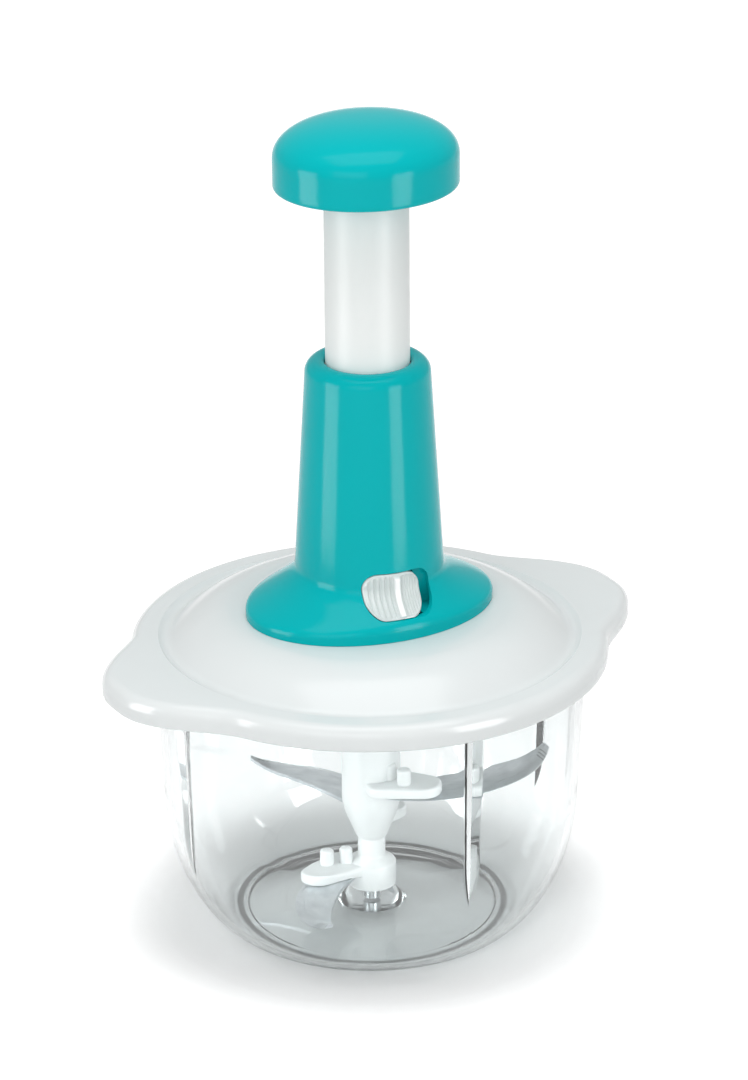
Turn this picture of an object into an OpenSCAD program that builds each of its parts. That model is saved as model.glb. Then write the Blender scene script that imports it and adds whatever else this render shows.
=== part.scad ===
// Plunger food chopper: a clear bowl, a flat lid with two ears, a tower with a spring-loaded
// palm knob, and three blades that a twisted strip turns as the knob is pressed.
// Millimetres, +Z up. The origin is the centre of the bowl's base. The ears lie along X and
// the lock button faces -Y. The knob is shown up and unlocked.

/* [Bowl] */
// Outer diameter of the bowl at its mouth
bowl_d = 143; // [124:1:165]
// How much the wall widens from the belly to the mouth, on the radius
wall_draft = 2.3; // [0.5:0.1:4]
// Outer diameter of the flat base
base_d = 94; // [70:1:110]
// Height of the bowl's rim above the table
bowl_h = 97; // [85:1:130]
// Height at which the rounded belly meets the straight wall
belly_h = 46; // [30:1:60]
// How square the belly's curve is, low down
belly_square = 1.9; // [1.5:0.1:2.6]
// How full the belly's curve is, high up
belly_full = 1.5; // [1.1:0.1:2]
// Wall of the bowl
bowl_wall = 2.4; // [1.8:0.1:3.5]
// Thickness of the bowl's floor
floor_t = 3.2; // [2.5:0.1:5]
// Depth of the V ribs that stand out of the bowl's inner wall
rib_depth = 2.4; // [1:0.1:3.2]
// Width of a V rib at the wall
rib_w = 6.6; // [4:0.1:9]
// Number of V ribs
rib_count = 4; // [2:1:8]
// Diameter of the steel pin that the blade shaft turns on
pin_d = 4; // [3:0.5:5]
// Height of the pin above the base
pin_top = 24; // [20:0.5:26]

/* [Lid] */
// How far the lid's round edge stands out past the bowl's mouth
lid_overhang = 7.2; // [4:0.1:12]
// How far an ear stands out past the round edge
ear_len = 15.3; // [6:0.1:24]
// Height of the rounded edge
lid_edge_h = 8.3; // [6:0.1:10]
// Wall of the lid
lid_wall = 2.4; // [1.8:0.1:3]
// How far the dome's flat top stands above the edge
dome_rise = 9.4; // [8:0.1:14]
// Depth of the groove round the foot of the dome
groove_depth = 1.4; // [0.3:0.1:1.6]

/* [Tower] */
// Length of the foot, along the ears
foot_l = 90; // [76:1:92]
// Width of the foot, front to back
foot_w = 72; // [66:1:84]
// Height of the tower above the lid's dome
tower_h = 86; // [80:1:105]
// Height over which the foot flares
flare_h = 16; // [13:1:24]
// Diameter of the neck just above the flare
neck_d = 48.8; // [46.4:0.2:54]
// Diameter of the neck just under the rounded top
neck_top_d = 41; // [40.2:0.2:45]
// Wall of the tower
tower_wall = 2.2; // [1.6:0.1:2.4]

/* [Plunger] */
// Outer diameter of the plunger tube
tube_d = 27.4; // [26:0.2:28]
// Wall of the plunger tube
tube_wall = 1.8; // [1.4:0.1:2.2]
// Travel of the knob
stroke = 58; // [40:1:59]
// Gap left between the pressed knob and the tower
knob_gap = 0.5; // [0.3:0.1:2]
// Length of the knob, along the ears
knob_l = 60.8; // [54:0.2:70]
// Width of the knob, front to back
knob_w = 56; // [50:0.2:64]
// Height of the knob
knob_h = 22.5; // [19:0.5:28]
// Wall of the knob
knob_wall = 2.2; // [1.6:0.1:3]

/* [Drive] */
// Width of the twisted strip
strip_w = 8; // [6:0.2:9]
// Thickness of the twisted strip
strip_t = 2.4; // [1.6:0.1:3]
// Rise of the strip for one full turn
strip_lead = 40; // [30:1:60]
// Diameter of the drive hub in its bush
hub_d = 16; // [13:0.5:17]
// Width across the flats of the hexagon on top of the blade shaft
hex_flats = 10; // [8:0.2:11]
// Outer diameter of the coupler
coupler_d = 21.2; // [18:0.2:23]
// Wire of the return spring
spring_wire = 1.2; // [0.8:0.1:1.4]
// Gap between the plunger tube and the return spring round it
spring_room = 0.6; // [0.5:0.1:0.8]
// Turns of the return spring
spring_turns = 8; // [6:1:9]

/* [Blades] */
// Diameter of the blade shaft
shaft_d = 19.6; // [16:0.2:22]
// Height at which the shaft starts to taper
taper_top = 42; // [38:0.5:46]
// Distance from the axis to the tip of the upper blade
blade_reach = 63.4; // [50:0.2:64]
// Height of the upper blade
blade_top_z = 46; // [44:0.5:60]
// Height of the middle blade
blade_mid_z = 30; // [24:0.5:34]
// Height of the lower blade
blade_low_z = 13; // [12:0.5:16]
// Thickness of a blade
blade_t = 1.2; // [0.8:0.1:1.5]
// How far a blade's edge bellies out from heel to tip
blade_belly = 15; // [10:0.5:18]
// Upward tilt of a blade, in degrees
blade_tilt = 3; // [0:0.5:4]

/* [Lock] */
// Width of the lock button
button_w = 19; // [14:0.5:20]
// Height of the lock button
button_h = 13.2; // [10:0.2:15]
// Sideways travel of the lock button
lock_travel = 4; // [3:0.1:5]
// Turn of the lock button from the front, in degrees
lock_turn = -6; // [-12:1:12]

/* [Fits] */
// Radial clearance of a shaft or tube that runs in a bore
running_gap = 0.08; // [0.02:0.01:0.1]
// Gap between pieces that only sit near each other
free_gap = 0.3; // [0.2:0.05:0.5]
// Gap round a piece fixed in another
fixed_gap = 0.05; // [0:0.01:0.1]
// Outer diameter of the screws' threads
screw_d = 2.6; // [2:0.1:3]

/* [Hidden] */
$fn = 96;

// Steps of a full turn in the curved skins
lid_steps = 96;
tower_steps = 64;
knob_steps = 64;
// Smallest overlap with which cuts run past faces
cut = 1;

// Bowl
mouth_r = bowl_d / 2;
belly_r = mouth_r - wall_draft;
base_r = base_d / 2;
belly_steps = 14;
foot_ring_w = 5;
foot_recess = 1.2;
boss_r = 9;
boss_top = 8.6;
boss_shoulder = 5.5;
rib_low_z = 22;

// Lid
lid_r = mouth_r + lid_overhang;
ear_reach = lid_r + ear_len;
edge_round = lid_edge_h / 2;
lid_edge_z = bowl_h - 3.7;
lid_flat_z = lid_edge_z + lid_edge_h;
dome_z = lid_flat_z + dome_rise;
skirt_lip = 0.8;
seat_w = 3;
ring_w = 2;
groove_r = mouth_r - 6;
groove_w = 4.3;
dome_top_r = foot_l / 2 + 1;
dome_steps = 6;
dome_full = 1.8;
ear_flat = 3;
ear_end = 30;
ring_drop = 5.2;
rib_top_z = bowl_h - ring_drop - 0.6;
cover_t = 2;
cover_z = bowl_h - cover_t;
cover_screw_r = 46;
cover_screw_count = 4;
cover_screw_turn = 45;
cover_hole_h = 6;
lid_bore_r = 12.4;

// Tower
neck_r = neck_d / 2;
neck_top_r = neck_top_d / 2;
flare_top_z = dome_z + flare_h;
tower_top_z = dome_z + tower_h;
shoulder_r = 4.4;
lip_r = 1.5;
tower_hole_r = tube_d / 2 + 0.4;
flare_steps = 12;
flare_lean = 1.1;
shoulder_steps = 5;
tower_top_t = 2.6;
bush_top_z = tower_top_z - tower_top_t;
bush_seat_r = neck_top_r - tower_wall - 0.4;
tower_screw_places = [[25.5, 0], [25.5, 180], [24, 90]];
tower_boss_r = 3;
tower_boss_h = 10;
key_w = 3;
key_low_z = dome_z + 5;

// Plunger and its spring
tooth_gap = 0.4;
spring_d = tube_d + 2 * spring_room + spring_wire;
tube_r = tube_d / 2;
tube_bore_r = tube_r - tube_wall;
flange_r = bush_seat_r - free_gap;
flange_t = 3;
guide_h = 9;
guide_low_z = bush_top_z - guide_h;
flange_top_z = guide_low_z - free_gap;
flange_low_z = flange_top_z - flange_t;
tooth_z = flange_top_z - stroke + tooth_gap;
tube_low_z = dome_z + 4 + stroke;
knob_low_z = tower_top_z + stroke + knob_gap;
knob_top_z = knob_low_z + knob_h;
knob_dome_h = 13;
knob_square = 2.3;
knob_edge = 1.4;
knob_steps_up = 9;
knob_boss_r = 6;
knob_hole_h = 7;
knob_base_t = 3;
knob_base_z = knob_low_z + 2;
knob_head_room = 12;
tube_top_z = knob_top_z - knob_head_room;
tube_cap_t = 3;
nut_t = 4;
nut_z = tube_low_z + 1;
strip_gap = 0.25;
key_gap = 0.5;
key_r = flange_r - 1.3;

// Lock
window_gap = 0.3;
window_w = button_w + lock_travel + 2 * window_gap;
window_h = button_h + 2 * window_gap;
window_z = dome_z + 13.4;
button_x = -lock_travel / 2;
button_stand = 0.6;
lock_corner = 5;
plate_in_y = flange_r + 0.4;
plate_t = 1.5;
plate_w = 9;
plate_low_z = dome_z + 3;
rail_gap = 0.2;
rail_x = (plate_w + lock_travel) / 2 + 0.5;
rail_w = 7.5;
rail_over = 4;
tooth_w = 3.4;
tooth_t = 2;
tooth_reach = spring_d / 2 + spring_wire / 2 + tooth_gap;
tooth_x = button_x - 2.4;
plate_top_z = tooth_z + tooth_t;

// Drive
hub_r = hub_d / 2;
bush_flange_t = 1.2;
bush_low_z = dome_z - 5;
hub_flange_r = 11;
washer_t = 1;
hub_flange_top = bush_low_z - washer_t - 0.1;
hub_top_z = dome_z + 2.6;
clip_t = 0.8;
clip_r = 10;
clip_groove = 0.9;
dog_count = 6;
dog_h = 1.6;
dog_root = 0.5;
dog_angle = 28;
dog_r = 10.4;
dog_in_r = 6.4;
dog_gap = 0.2;
coupler_r = coupler_d / 2;
coupler_flange_r = coupler_r + 1.6;
coupler_flange_z = bowl_h + 1.2;
coupler_top_z = coupler_flange_z + 1.5;
hub_low_z = coupler_top_z + dog_h + dog_gap;
coupler_low_z = bowl_h - 11;
collar_wall = 2.4;
collar_low_z = bowl_h - 9;
hex_top_z = bowl_h - 1;
hex_gap = 0.1;
wave_t = coupler_flange_z - bowl_h - 0.2;
seat_t = 2;
strip_low_z = dome_z - 4;
strip_twist_z = dome_z + 3;
strip_top_z = nut_z + nut_t + 6;
strip_slice = 1;
strip_segments = 8;
tang_w = strip_w - 0.4;
strip_pin_r = 1;
strip_pin_z = dome_z - 2;

// Blades
shaft_r = shaft_d / 2;
shaft_top_z = coupler_low_z - 0.6;
taper_low_z = 27;
stem_r = 4.6;
hub_foot_r = 8.2;
shaft_low_z = boss_top + free_gap;
bush_wall = 1;
bush_r = pin_d / 2 + running_gap + bush_wall;
lug_t = 3.6;
lug_near = [-2, -10.5];
lug_near_r = 4.5;
lug_far = [10.5, -17.5];
lug_far_r = 6;
heel = [-4.5, -9.5];
back = [16, -9];
tip_turn = -15;
tip_w = 2.6;
back_belly = 2;
post_r = 1.8;
post_at = [4.7, -14.9];
post_end = 0.8;
rivet_r = 2.35;
rivet_h = 5.5;
gusset_at = [2.8, -8.6];
gusset_r = 2.2;
blade_arc_steps = 14;
blade_angles = [0, 120, 240];
blade_levels = [blade_top_z, blade_mid_z, blade_low_z];
wall_room = 3.8;

// Spring and screws
spring_ring_count = 16;
spring_sides = 6;
screw_head_r = screw_d;
screw_head_h = 1.8;

// ---- helpers ----

// Skin over a stack of rings with the same number of points, closed at both ends.
// Each ring runs anticlockwise seen from above and the stack runs upwards.
module stack_skin(rings) {
    m = len(rings[0]);
    n = len(rings);
    side = [for (i = [0:n - 2], j = [0:m - 1]) each [
        [i * m + j, (i + 1) * m + j, (i + 1) * m + (j + 1) % m],
        [i * m + j, (i + 1) * m + (j + 1) % m, i * m + (j + 1) % m]]];
    low = [[for (j = [0:m - 1]) j]];
    high = [[for (j = [m - 1:-1:0]) (n - 1) * m + j]];
    polyhedron([for (ring = rings) each ring], concat(low, side, high));
}

// Straight blend from 0 to 1 with level ends
function smooth_step(t) = t <= 0 ? 0 : t >= 1 ? 1 : t * t * (3 - 2 * t);

// Points of a flat arc from p to q that bulges by sag to the right of the way from p to q
function arc_points(p, q, sag, steps) =
    let (half = norm(q - p) / 2,
         radius = (half * half + sag * sag) / (2 * sag),
         middle = (p + q) / 2,
         along = (q - p) / (2 * half),
         right = [along[1], -along[0]],
         centre = middle - right * (radius - sag),
         open = asin(half / radius))
    [for (i = [0:steps])
        let (a = -open + 2 * open * i / steps)
        centre + radius * (right * cos(a) + along * sin(a))];

// A screw with its head down, its thread running up from the origin
module screw_up(length) {
    cylinder(r = screw_d / 2, h = length);
    translate([0, 0, -screw_head_h])
        cylinder(r = screw_head_r, h = screw_head_h);
}

// ---- bowl ----

// Outer radius of the bowl at height z
function bowl_r(z) = z < belly_h
    ? base_r + (belly_r - base_r)
        * pow(max(0, 1 - pow((belly_h - z) / belly_h, belly_square)), 1 / belly_full)
    : belly_r + (mouth_r - belly_r) * (z - belly_h) / (bowl_h - belly_h);

// Heights of the points on the bowl's outline, close together low down
bowl_zs = [for (i = [0:belly_steps]) belly_h * pow(i / belly_steps, 1.8)];

// Point of the inner wall opposite the outer point at height z
function inner_point(z) =
    let (dz = 0.4,
         dr = bowl_r(z + dz) - bowl_r(z),
         slant = norm([dr, dz]))
    [bowl_r(z) - bowl_wall * dz / slant, z + bowl_wall * dr / slant];

// Inner radius of the bowl at height z
function bowl_inner_r(z) = bowl_r(z) - bowl_wall * 1.15;

inner_wall = [for (z = bowl_zs) let (p = inner_point(z)) if (p[1] > floor_t) p];

module bowl_outside() {
    rotate_extrude()
        polygon(concat([[0, 0]], [for (z = bowl_zs) [bowl_r(z), z]],
            [[mouth_r, bowl_h], [0, bowl_h]]));
}

module bowl_inside() {
    rotate_extrude()
        polygon(concat([[0, floor_t], [inner_wall[0][0], floor_t]], inner_wall,
            [[mouth_r - bowl_wall, bowl_h + cut], [0, bowl_h + cut]]));
}

// Four V prisms that lean out, so that each rib runs out into the wall low down
module wall_ribs() {
    apex_r = bowl_r(rib_top_z) - bowl_wall - rib_depth;
    run_out = apex_r - bowl_inner_r(rib_low_z) - bowl_wall;
    lean = atan(run_out / (rib_top_z - rib_low_z));
    root = rib_depth + bowl_wall / 2;
    half = rib_w / 2 * root / rib_depth;
    for (i = [0:rib_count - 1])
        rotate(360 * i / rib_count)
            translate([apex_r, 0, rib_top_z])
                rotate([0, lean, 0])
                    mirror([0, 0, 1])
                        linear_extrude(rib_top_z - rib_low_z)
                            polygon([[0, 0], [root, -half], [root, half]]);
}

module bowl() {
    color([0.9, 0.95, 0.96, 0.4])
    difference() {
        union() {
            difference() {
                bowl_outside();
                bowl_inside();
            }
            intersection() {
                bowl_outside();
                wall_ribs();
            }
            rotate_extrude()
                polygon([[0, floor_t - 1], [boss_r + 3, floor_t - 1], [boss_r, boss_shoulder],
                    [stem_r + 1.5, boss_top], [0, boss_top]]);
        }
        translate([0, 0, -cut])
            cylinder(r = base_r - foot_ring_w, h = foot_recess + cut);
        translate([0, 0, floor_t - 1])
            cylinder(r = pin_d / 2 + fixed_gap, h = boss_top);
    }
}

module pivot_pin() {
    color("silver")
    translate([0, 0, floor_t - 1]) {
        cylinder(r = pin_d / 2, h = pin_top - floor_t);
        translate([0, 0, pin_top - floor_t])
            cylinder(r1 = pin_d / 2, r2 = pin_d / 4, h = 1);
    }
}

// ---- lid ----

// Distance from the axis to the lid's edge, a degrees round from an ear
function lid_edge(a) =
    let (turn = a % 180,
         off = turn > 90 ? 180 - turn : turn)
    lid_r + (ear_reach - lid_r) * (1 - smooth_step((off - ear_flat) / (ear_end - ear_flat)));

// Height of the dome at radius r
function dome_at(r) = dome_z - (dome_z - groove_top_z)
    * pow(max(0, r - dome_top_r) / (groove_r - dome_top_r), dome_full);
groove_top_z = lid_flat_z - groove_depth / 2;

// Rings of the lid: share of the edge's radius, radius added, height.
// The first lies within the hollow, so that the underside is made of short quads.
lid_outline = concat(
    [[0, mouth_r, lid_edge_z], [1, -skirt_lip, lid_edge_z], [1, -0.2, lid_edge_z + 0.8]],
    [for (a = [0:18:90]) [1, -edge_round * (1 - cos(a)), lid_flat_z - edge_round * (1 - sin(a))]],
    [[0, groove_r + groove_w, lid_flat_z],
     [0, groove_r + groove_w / 2, lid_flat_z - groove_depth]],
    [for (i = [dome_steps:-1:0])
        let (r = dome_top_r + (groove_r - dome_top_r) * i / dome_steps)
        [0, r, dome_at(r)]]);
lid_hollow = concat(
    [[1, -lid_wall, lid_edge_z - cut], [1, -lid_wall, lid_flat_z - lid_wall - 1],
     [1, -lid_wall - 1, lid_flat_z - lid_wall],
     [0, groove_r + groove_w, lid_flat_z - lid_wall]],
    [for (i = [dome_steps:-1:0])
        let (share = i / dome_steps,
             r = dome_top_r + (groove_r - dome_top_r - lid_wall) * share)
        [0, r, dome_at(r + share * lid_wall / 2) - lid_wall]]);

function lid_ring(entry) = [for (j = [0:lid_steps - 1])
    let (a = 360 * j / lid_steps,
         r = entry[0] * lid_edge(a) + entry[1])
    [r * cos(a), r * sin(a), entry[2]]];

module at_cover_screws() {
    for (i = [0:cover_screw_count - 1])
        rotate(cover_screw_turn + 360 * i / cover_screw_count)
            translate([cover_screw_r, 0, 0])
                children();
}

module at_tower_screws() {
    for (place = tower_screw_places)
        rotate(place[1])
            translate([place[0], 0, 0])
                children();
}

module lid() {
    cover_boss_r = screw_d;
    color("white")
    difference() {
        union() {
            difference() {
                stack_skin([for (entry = lid_outline) lid_ring(entry)]);
                stack_skin([for (entry = lid_hollow) lid_ring(entry)]);
            }
            translate([0, 0, bowl_h])
                difference() {
                    cylinder(r = mouth_r + free_gap, h = lid_flat_z - lid_wall / 2 - bowl_h);
                    translate([0, 0, -cut])
                        cylinder(r = mouth_r + free_gap - seat_w, h = lid_edge_h + cut);
                }
            at_cover_screws()
                translate([0, 0, bowl_h])
                    cylinder(r = cover_boss_r, h = dome_at(cover_screw_r) - lid_wall / 2 - bowl_h);
        }
        translate([0, 0, bowl_h - cut])
            cylinder(r = lid_bore_r, h = dome_rise + lid_edge_h + cut);
        at_cover_screws()
            translate([0, 0, bowl_h - cut])
                cylinder(r = screw_d / 2 + fixed_gap, h = cover_hole_h + cut);
        at_tower_screws()
            translate([0, 0, dome_z - lid_wall - cut])
                cylinder(r = screw_d / 2 + fixed_gap, h = lid_wall + 2 * cut);
    }
}

module inner_cover() {
    ring_r = mouth_r - bowl_wall - free_gap;
    collar_r = coupler_r + running_gap;
    color("whitesmoke")
    difference() {
        rotate_extrude()
            polygon([[collar_r, collar_low_z], [collar_r + collar_wall, collar_low_z],
                [collar_r + collar_wall, cover_z], [ring_r - ring_w, cover_z],
                [ring_r - ring_w, bowl_h - ring_drop], [ring_r, bowl_h - ring_drop],
                [ring_r, bowl_h], [collar_r, bowl_h]]);
        at_cover_screws()
            translate([0, 0, cover_z - cut])
                cylinder(r = screw_d / 2 + fixed_gap, h = cover_t + 2 * cut);
    }
}

module cover_screws() {
    color("silver")
    at_cover_screws()
        translate([0, 0, cover_z])
            screw_up(cover_t + cover_hole_h - 1);
}

// ---- tower ----

// Radius of the foot's oval, a degrees round from an ear
function foot_r(a) = 1 / norm([2 * cos(a) / foot_l, 2 * sin(a) / foot_w]);

// Outer radius of the tower's flare and neck at height z
function tower_r(z, a) = z < flare_top_z
    ? neck_r + (foot_r(a) - neck_r)
        * smooth_step(pow((flare_top_z - z) / flare_h, flare_lean))
    : neck_r - (neck_r - neck_top_r) * (z - flare_top_z)
        / (tower_top_z - shoulder_r - flare_top_z);

// Heights of the flare's rings, closer together at its foot and at its top
flare_zs = [for (i = [0:flare_steps])
    flare_top_z - flare_h * (0.5 + 0.48 * cos(180 * i / flare_steps))];
neck_end_z = tower_top_z - shoulder_r;

function tower_ring(z, out) = [for (j = [0:tower_steps - 1])
    let (a = 360 * j / tower_steps,
         r = tower_r(z, a) + out)
    [r * cos(a), r * sin(a), z]];

function round_ring(r, z) = [for (j = [0:tower_steps - 1])
    let (a = 360 * j / tower_steps)
    [r * cos(a), r * sin(a), z]];

// Foot edge, flare and neck of the tower, grown outwards by out
module tower_solid(out) {
    edge_z = flare_zs[0];
    stack_skin(concat(
        [[for (p = tower_ring(edge_z, out)) [p[0], p[1], dome_z]]],
        [for (z = flare_zs) tower_ring(z, out)],
        [tower_ring(neck_end_z, out)],
        [for (i = [1:shoulder_steps])
            let (a = 90 * i / shoulder_steps)
            round_ring(neck_top_r + out - shoulder_r * (1 - cos(a)),
                neck_end_z + shoulder_r * sin(a))]));
}

// Space inside the tower up to the underside of its top
module tower_hollow() {
    low_ring = tower_ring(flare_zs[1], -tower_wall);
    stack_skin(concat(
        [[for (p = low_ring) [p[0], p[1], dome_z - cut]]],
        [for (i = [1:flare_steps]) tower_ring(flare_zs[i], -tower_wall)],
        [round_ring(tower_r(guide_low_z, 0) - tower_wall, guide_low_z)],
        [round_ring(bush_seat_r, guide_low_z + 0.1)],
        [round_ring(bush_seat_r, bush_top_z)]));
}

// Upright keys that stop the plunger from turning, from the flare to the bush
module guide_keys() {
    for (turn = [0, 180])
        rotate(turn + lock_turn - asin(key_w / 2 / key_r))
            rotate_extrude(angle = 2 * asin(key_w / 2 / key_r))
                polygon([[key_r, key_low_z],
                    [tower_r(key_low_z, 90) - tower_wall / 2, key_low_z],
                    [neck_r - tower_wall / 2, flare_top_z],
                    [tower_r(guide_low_z, 0) - tower_wall / 2, guide_low_z],
                    [key_r, guide_low_z]]);
}

// Flat shape of a rounded rectangle
module rounded_shape(w, h, corner) {
    square([w - 2 * corner, h], center = true);
    square([w, h - 2 * corner], center = true);
    for (x = [-1, 1], y = [-1, 1])
        translate([x * (w / 2 - corner), y * (h / 2 - corner)])
            circle(corner);
}

// A bar through the tower's front, from depth near to depth far
module front_bar(x, w, h, corner, near, far) {
    translate([x, -near, window_z])
        rotate([90, 0, 0])
            linear_extrude(far - near)
                rounded_shape(w, h, corner);
}

// Upright rails inside the tower, one on each side of the lock plate's way
module slide_rails() {
    intersection() {
        tower_solid(-tower_wall / 2);
        rotate(lock_turn)
            for (side = [0, 1])
                mirror([side, 0, 0])
                    translate([rail_x, rail_gap - plate_in_y - plate_t, window_z - window_h / 2])
                        cube([rail_w, plate_t - rail_gap, window_h + rail_over]);
    }
}

module tower_housing() {
    color([0, 0.7, 0.72]) {
        difference() {
            union() {
                difference() {
                    tower_solid(0);
                    tower_hollow();
                    translate([0, 0, bush_top_z - cut])
                        cylinder(r = tower_hole_r, h = tower_top_z);
                }
                guide_keys();
                at_tower_screws()
                    translate([0, 0, dome_z])
                        cylinder(r = tower_boss_r, h = tower_boss_h);
            }
            translate([0, 0, tower_top_z - lip_r])
                cylinder(r1 = tower_hole_r, r2 = tower_hole_r + lip_r, h = lip_r + 0.01);
            at_tower_screws()
                translate([0, 0, dome_z - cut])
                    cylinder(r = screw_d / 2 + fixed_gap, h = tower_boss_h - 1 + cut);
            rotate(lock_turn)
                front_bar(0, window_w, window_h, lock_corner + window_gap, plate_in_y, foot_w);
        }
        slide_rails();
    }
}

module tower_screws() {
    color("silver")
    at_tower_screws()
        translate([0, 0, dome_z - lid_wall])
            screw_up(lid_wall + tower_boss_h - 2);
}

module guide_bush() {
    color("whitesmoke")
    translate([0, 0, guide_low_z + 0.1])
        difference() {
            cylinder(r = bush_seat_r - 0.1, h = bush_top_z - guide_low_z - 0.1 - fixed_gap);
            translate([0, 0, -cut])
                cylinder(r = tube_r + running_gap, h = tower_h);
        }
}

module hub_bush() {
    color("ivory")
    rotate_extrude()
        polygon([[hub_r + running_gap, bush_low_z], [lid_bore_r - fixed_gap, bush_low_z],
            [lid_bore_r - fixed_gap, dome_z], [lid_bore_r + 1.2, dome_z],
            [lid_bore_r + 1.2, dome_z + bush_flange_t],
            [hub_r + running_gap, dome_z + bush_flange_t]]);
}

module thrust_washer() {
    color("silver")
    translate([0, 0, bush_low_z - washer_t])
        difference() {
            cylinder(r = hub_flange_r, h = washer_t);
            translate([0, 0, -cut])
                cylinder(r = hub_r + free_gap, h = washer_t + 2 * cut);
        }
}

module spring_seat() {
    color("silver")
    translate([0, 0, dome_z])
        difference() {
            cylinder(r = spring_d / 2 + spring_wire / 2 + 0.8, h = seat_t);
            translate([0, 0, -cut])
                cylinder(r = lid_bore_r + 1.2 + fixed_gap, h = seat_t + 2 * cut);
        }
}

// ---- return spring ----

spring_low_z = dome_z + seat_t + spring_wire / 2 + fixed_gap;
spring_high_z = flange_low_z - spring_wire / 2 - fixed_gap;
spring_rings = spring_turns * spring_ring_count;

function spring_centre(i) =
    let (a = 360 * i / spring_ring_count)
    [spring_d / 2 * cos(a), spring_d / 2 * sin(a),
     spring_low_z + (spring_high_z - spring_low_z) * i / spring_rings];

// Ring of the wire in the upright plane through the axis
function spring_ring(i) =
    let (a = 360 * i / spring_ring_count,
         c = spring_centre(i))
    [for (k = [0:spring_sides - 1])
        let (b = 360 * k / spring_sides,
             out = spring_wire / 2 * cos(b))
        [c[0] + out * cos(a), c[1] + out * sin(a), c[2] + spring_wire / 2 * sin(b)]];

// Least distance between wire centres one turn apart, less the wire
spring_gap = min([for (i = [0:spring_rings - spring_ring_count])
    norm(spring_centre(i + spring_ring_count) - spring_centre(i))]) - spring_wire;
echo(least_gap_in_return_spring = spring_gap);

module return_spring() {
    m = spring_sides;
    n = spring_rings + 1;
    side = [for (i = [0:n - 2], j = [0:m - 1]) each [
        [i * m + j, i * m + (j + 1) % m, (i + 1) * m + (j + 1) % m],
        [i * m + j, (i + 1) * m + (j + 1) % m, (i + 1) * m + j]]];
    low = [[for (j = [m - 1:-1:0]) j]];
    high = [[for (j = [0:m - 1]) (n - 1) * m + j]];
    color("silver")
    polyhedron([for (i = [0:n - 1]) each spring_ring(i)], concat(low, side, high));
}

module clutch_spring() {
    color("silver")
    translate([0, 0, bowl_h + 0.1])
        difference() {
            cylinder(r = coupler_flange_r, h = wave_t);
            translate([0, 0, -cut])
                cylinder(r = coupler_r + free_gap, h = wave_t + 2 * cut);
        }
}

// Bent strip under the lock plate, with a bump that holds the button at either end
module detent_spring() {
    strip = 0.4;
    half = 9;
    high = plate_low_z - free_gap - dome_z;
    bump = 1.2;
    color("silver")
    rotate(lock_turn)
        translate([0, -plate_in_y - plate_t / 2 + 1.4, dome_z])
            rotate([90, 0, 0])
                linear_extrude(2.8)
                    polygon([[-half, 0], [-half, high - 0.7], [-bump, high - 0.7], [0, high],
                        [bump, high - 0.7], [half, high - 0.7], [half, 0],
                        [half - strip, 0], [half - strip, high - 0.7 - strip],
                        [bump, high - 0.7 - strip], [0, high - strip],
                        [-bump, high - 0.7 - strip], [-half + strip, high - 0.7 - strip],
                        [-half + strip, 0]]);
}

// ---- plunger ----

function knob_ring(share, out, z) = [for (j = [0:knob_steps - 1])
    let (a = 360 * j / knob_steps,
         r = share / norm([2 * cos(a) / knob_l, 2 * sin(a) / knob_w]) + out)
    [r * cos(a), r * sin(a), z]];

// Share of the knob's radius at a turn a round its domed top
function knob_share(a) = pow(cos(a), 2 / knob_square);
function knob_rise(a) = pow(sin(a), 2 / knob_square);

module knob_solid(out, low_z, edge) {
    side_z = knob_top_z - knob_dome_h;
    stack_skin(concat(
        [knob_ring(1, out - edge, low_z), knob_ring(1, out - edge * 0.3, low_z + edge * 0.3),
         knob_ring(1, out, low_z + edge + 0.01)],
        [for (i = [0:knob_steps_up])
            let (a = 87 * i / knob_steps_up)
            knob_ring(knob_share(a), out * max(knob_share(a), 0.1),
                side_z + (knob_dome_h + out) * knob_rise(a))]));
}

module knob_cap() {
    color([0, 0.7, 0.72])
    difference() {
        union() {
            difference() {
                knob_solid(0, knob_low_z, knob_edge);
                knob_solid(-knob_wall, knob_low_z - cut, 0);
            }
            translate([0, 0, tube_top_z])
                cylinder(r = knob_boss_r, h = knob_top_z - knob_wall / 2 - tube_top_z);
        }
        translate([0, 0, tube_top_z - cut])
            cylinder(r = screw_d / 2 + fixed_gap, h = knob_hole_h + cut);
    }
}

module knob_base() {
    plate_r = knob_w / 2 - knob_wall - free_gap;
    color([0, 0.62, 0.65])
    translate([0, 0, knob_base_z])
        difference() {
            union() {
                cylinder(r = plate_r, h = knob_base_t);
                cylinder(r = tube_r + 2, h = tube_top_z - knob_base_z - 1);
            }
            translate([0, 0, -cut])
                cylinder(r = tube_r + fixed_gap, h = tube_top_z);
        }
}

module knob_screw() {
    color("silver")
    translate([0, 0, tube_top_z - tube_cap_t])
        screw_up(tube_cap_t + knob_hole_h - 1);
}

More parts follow.
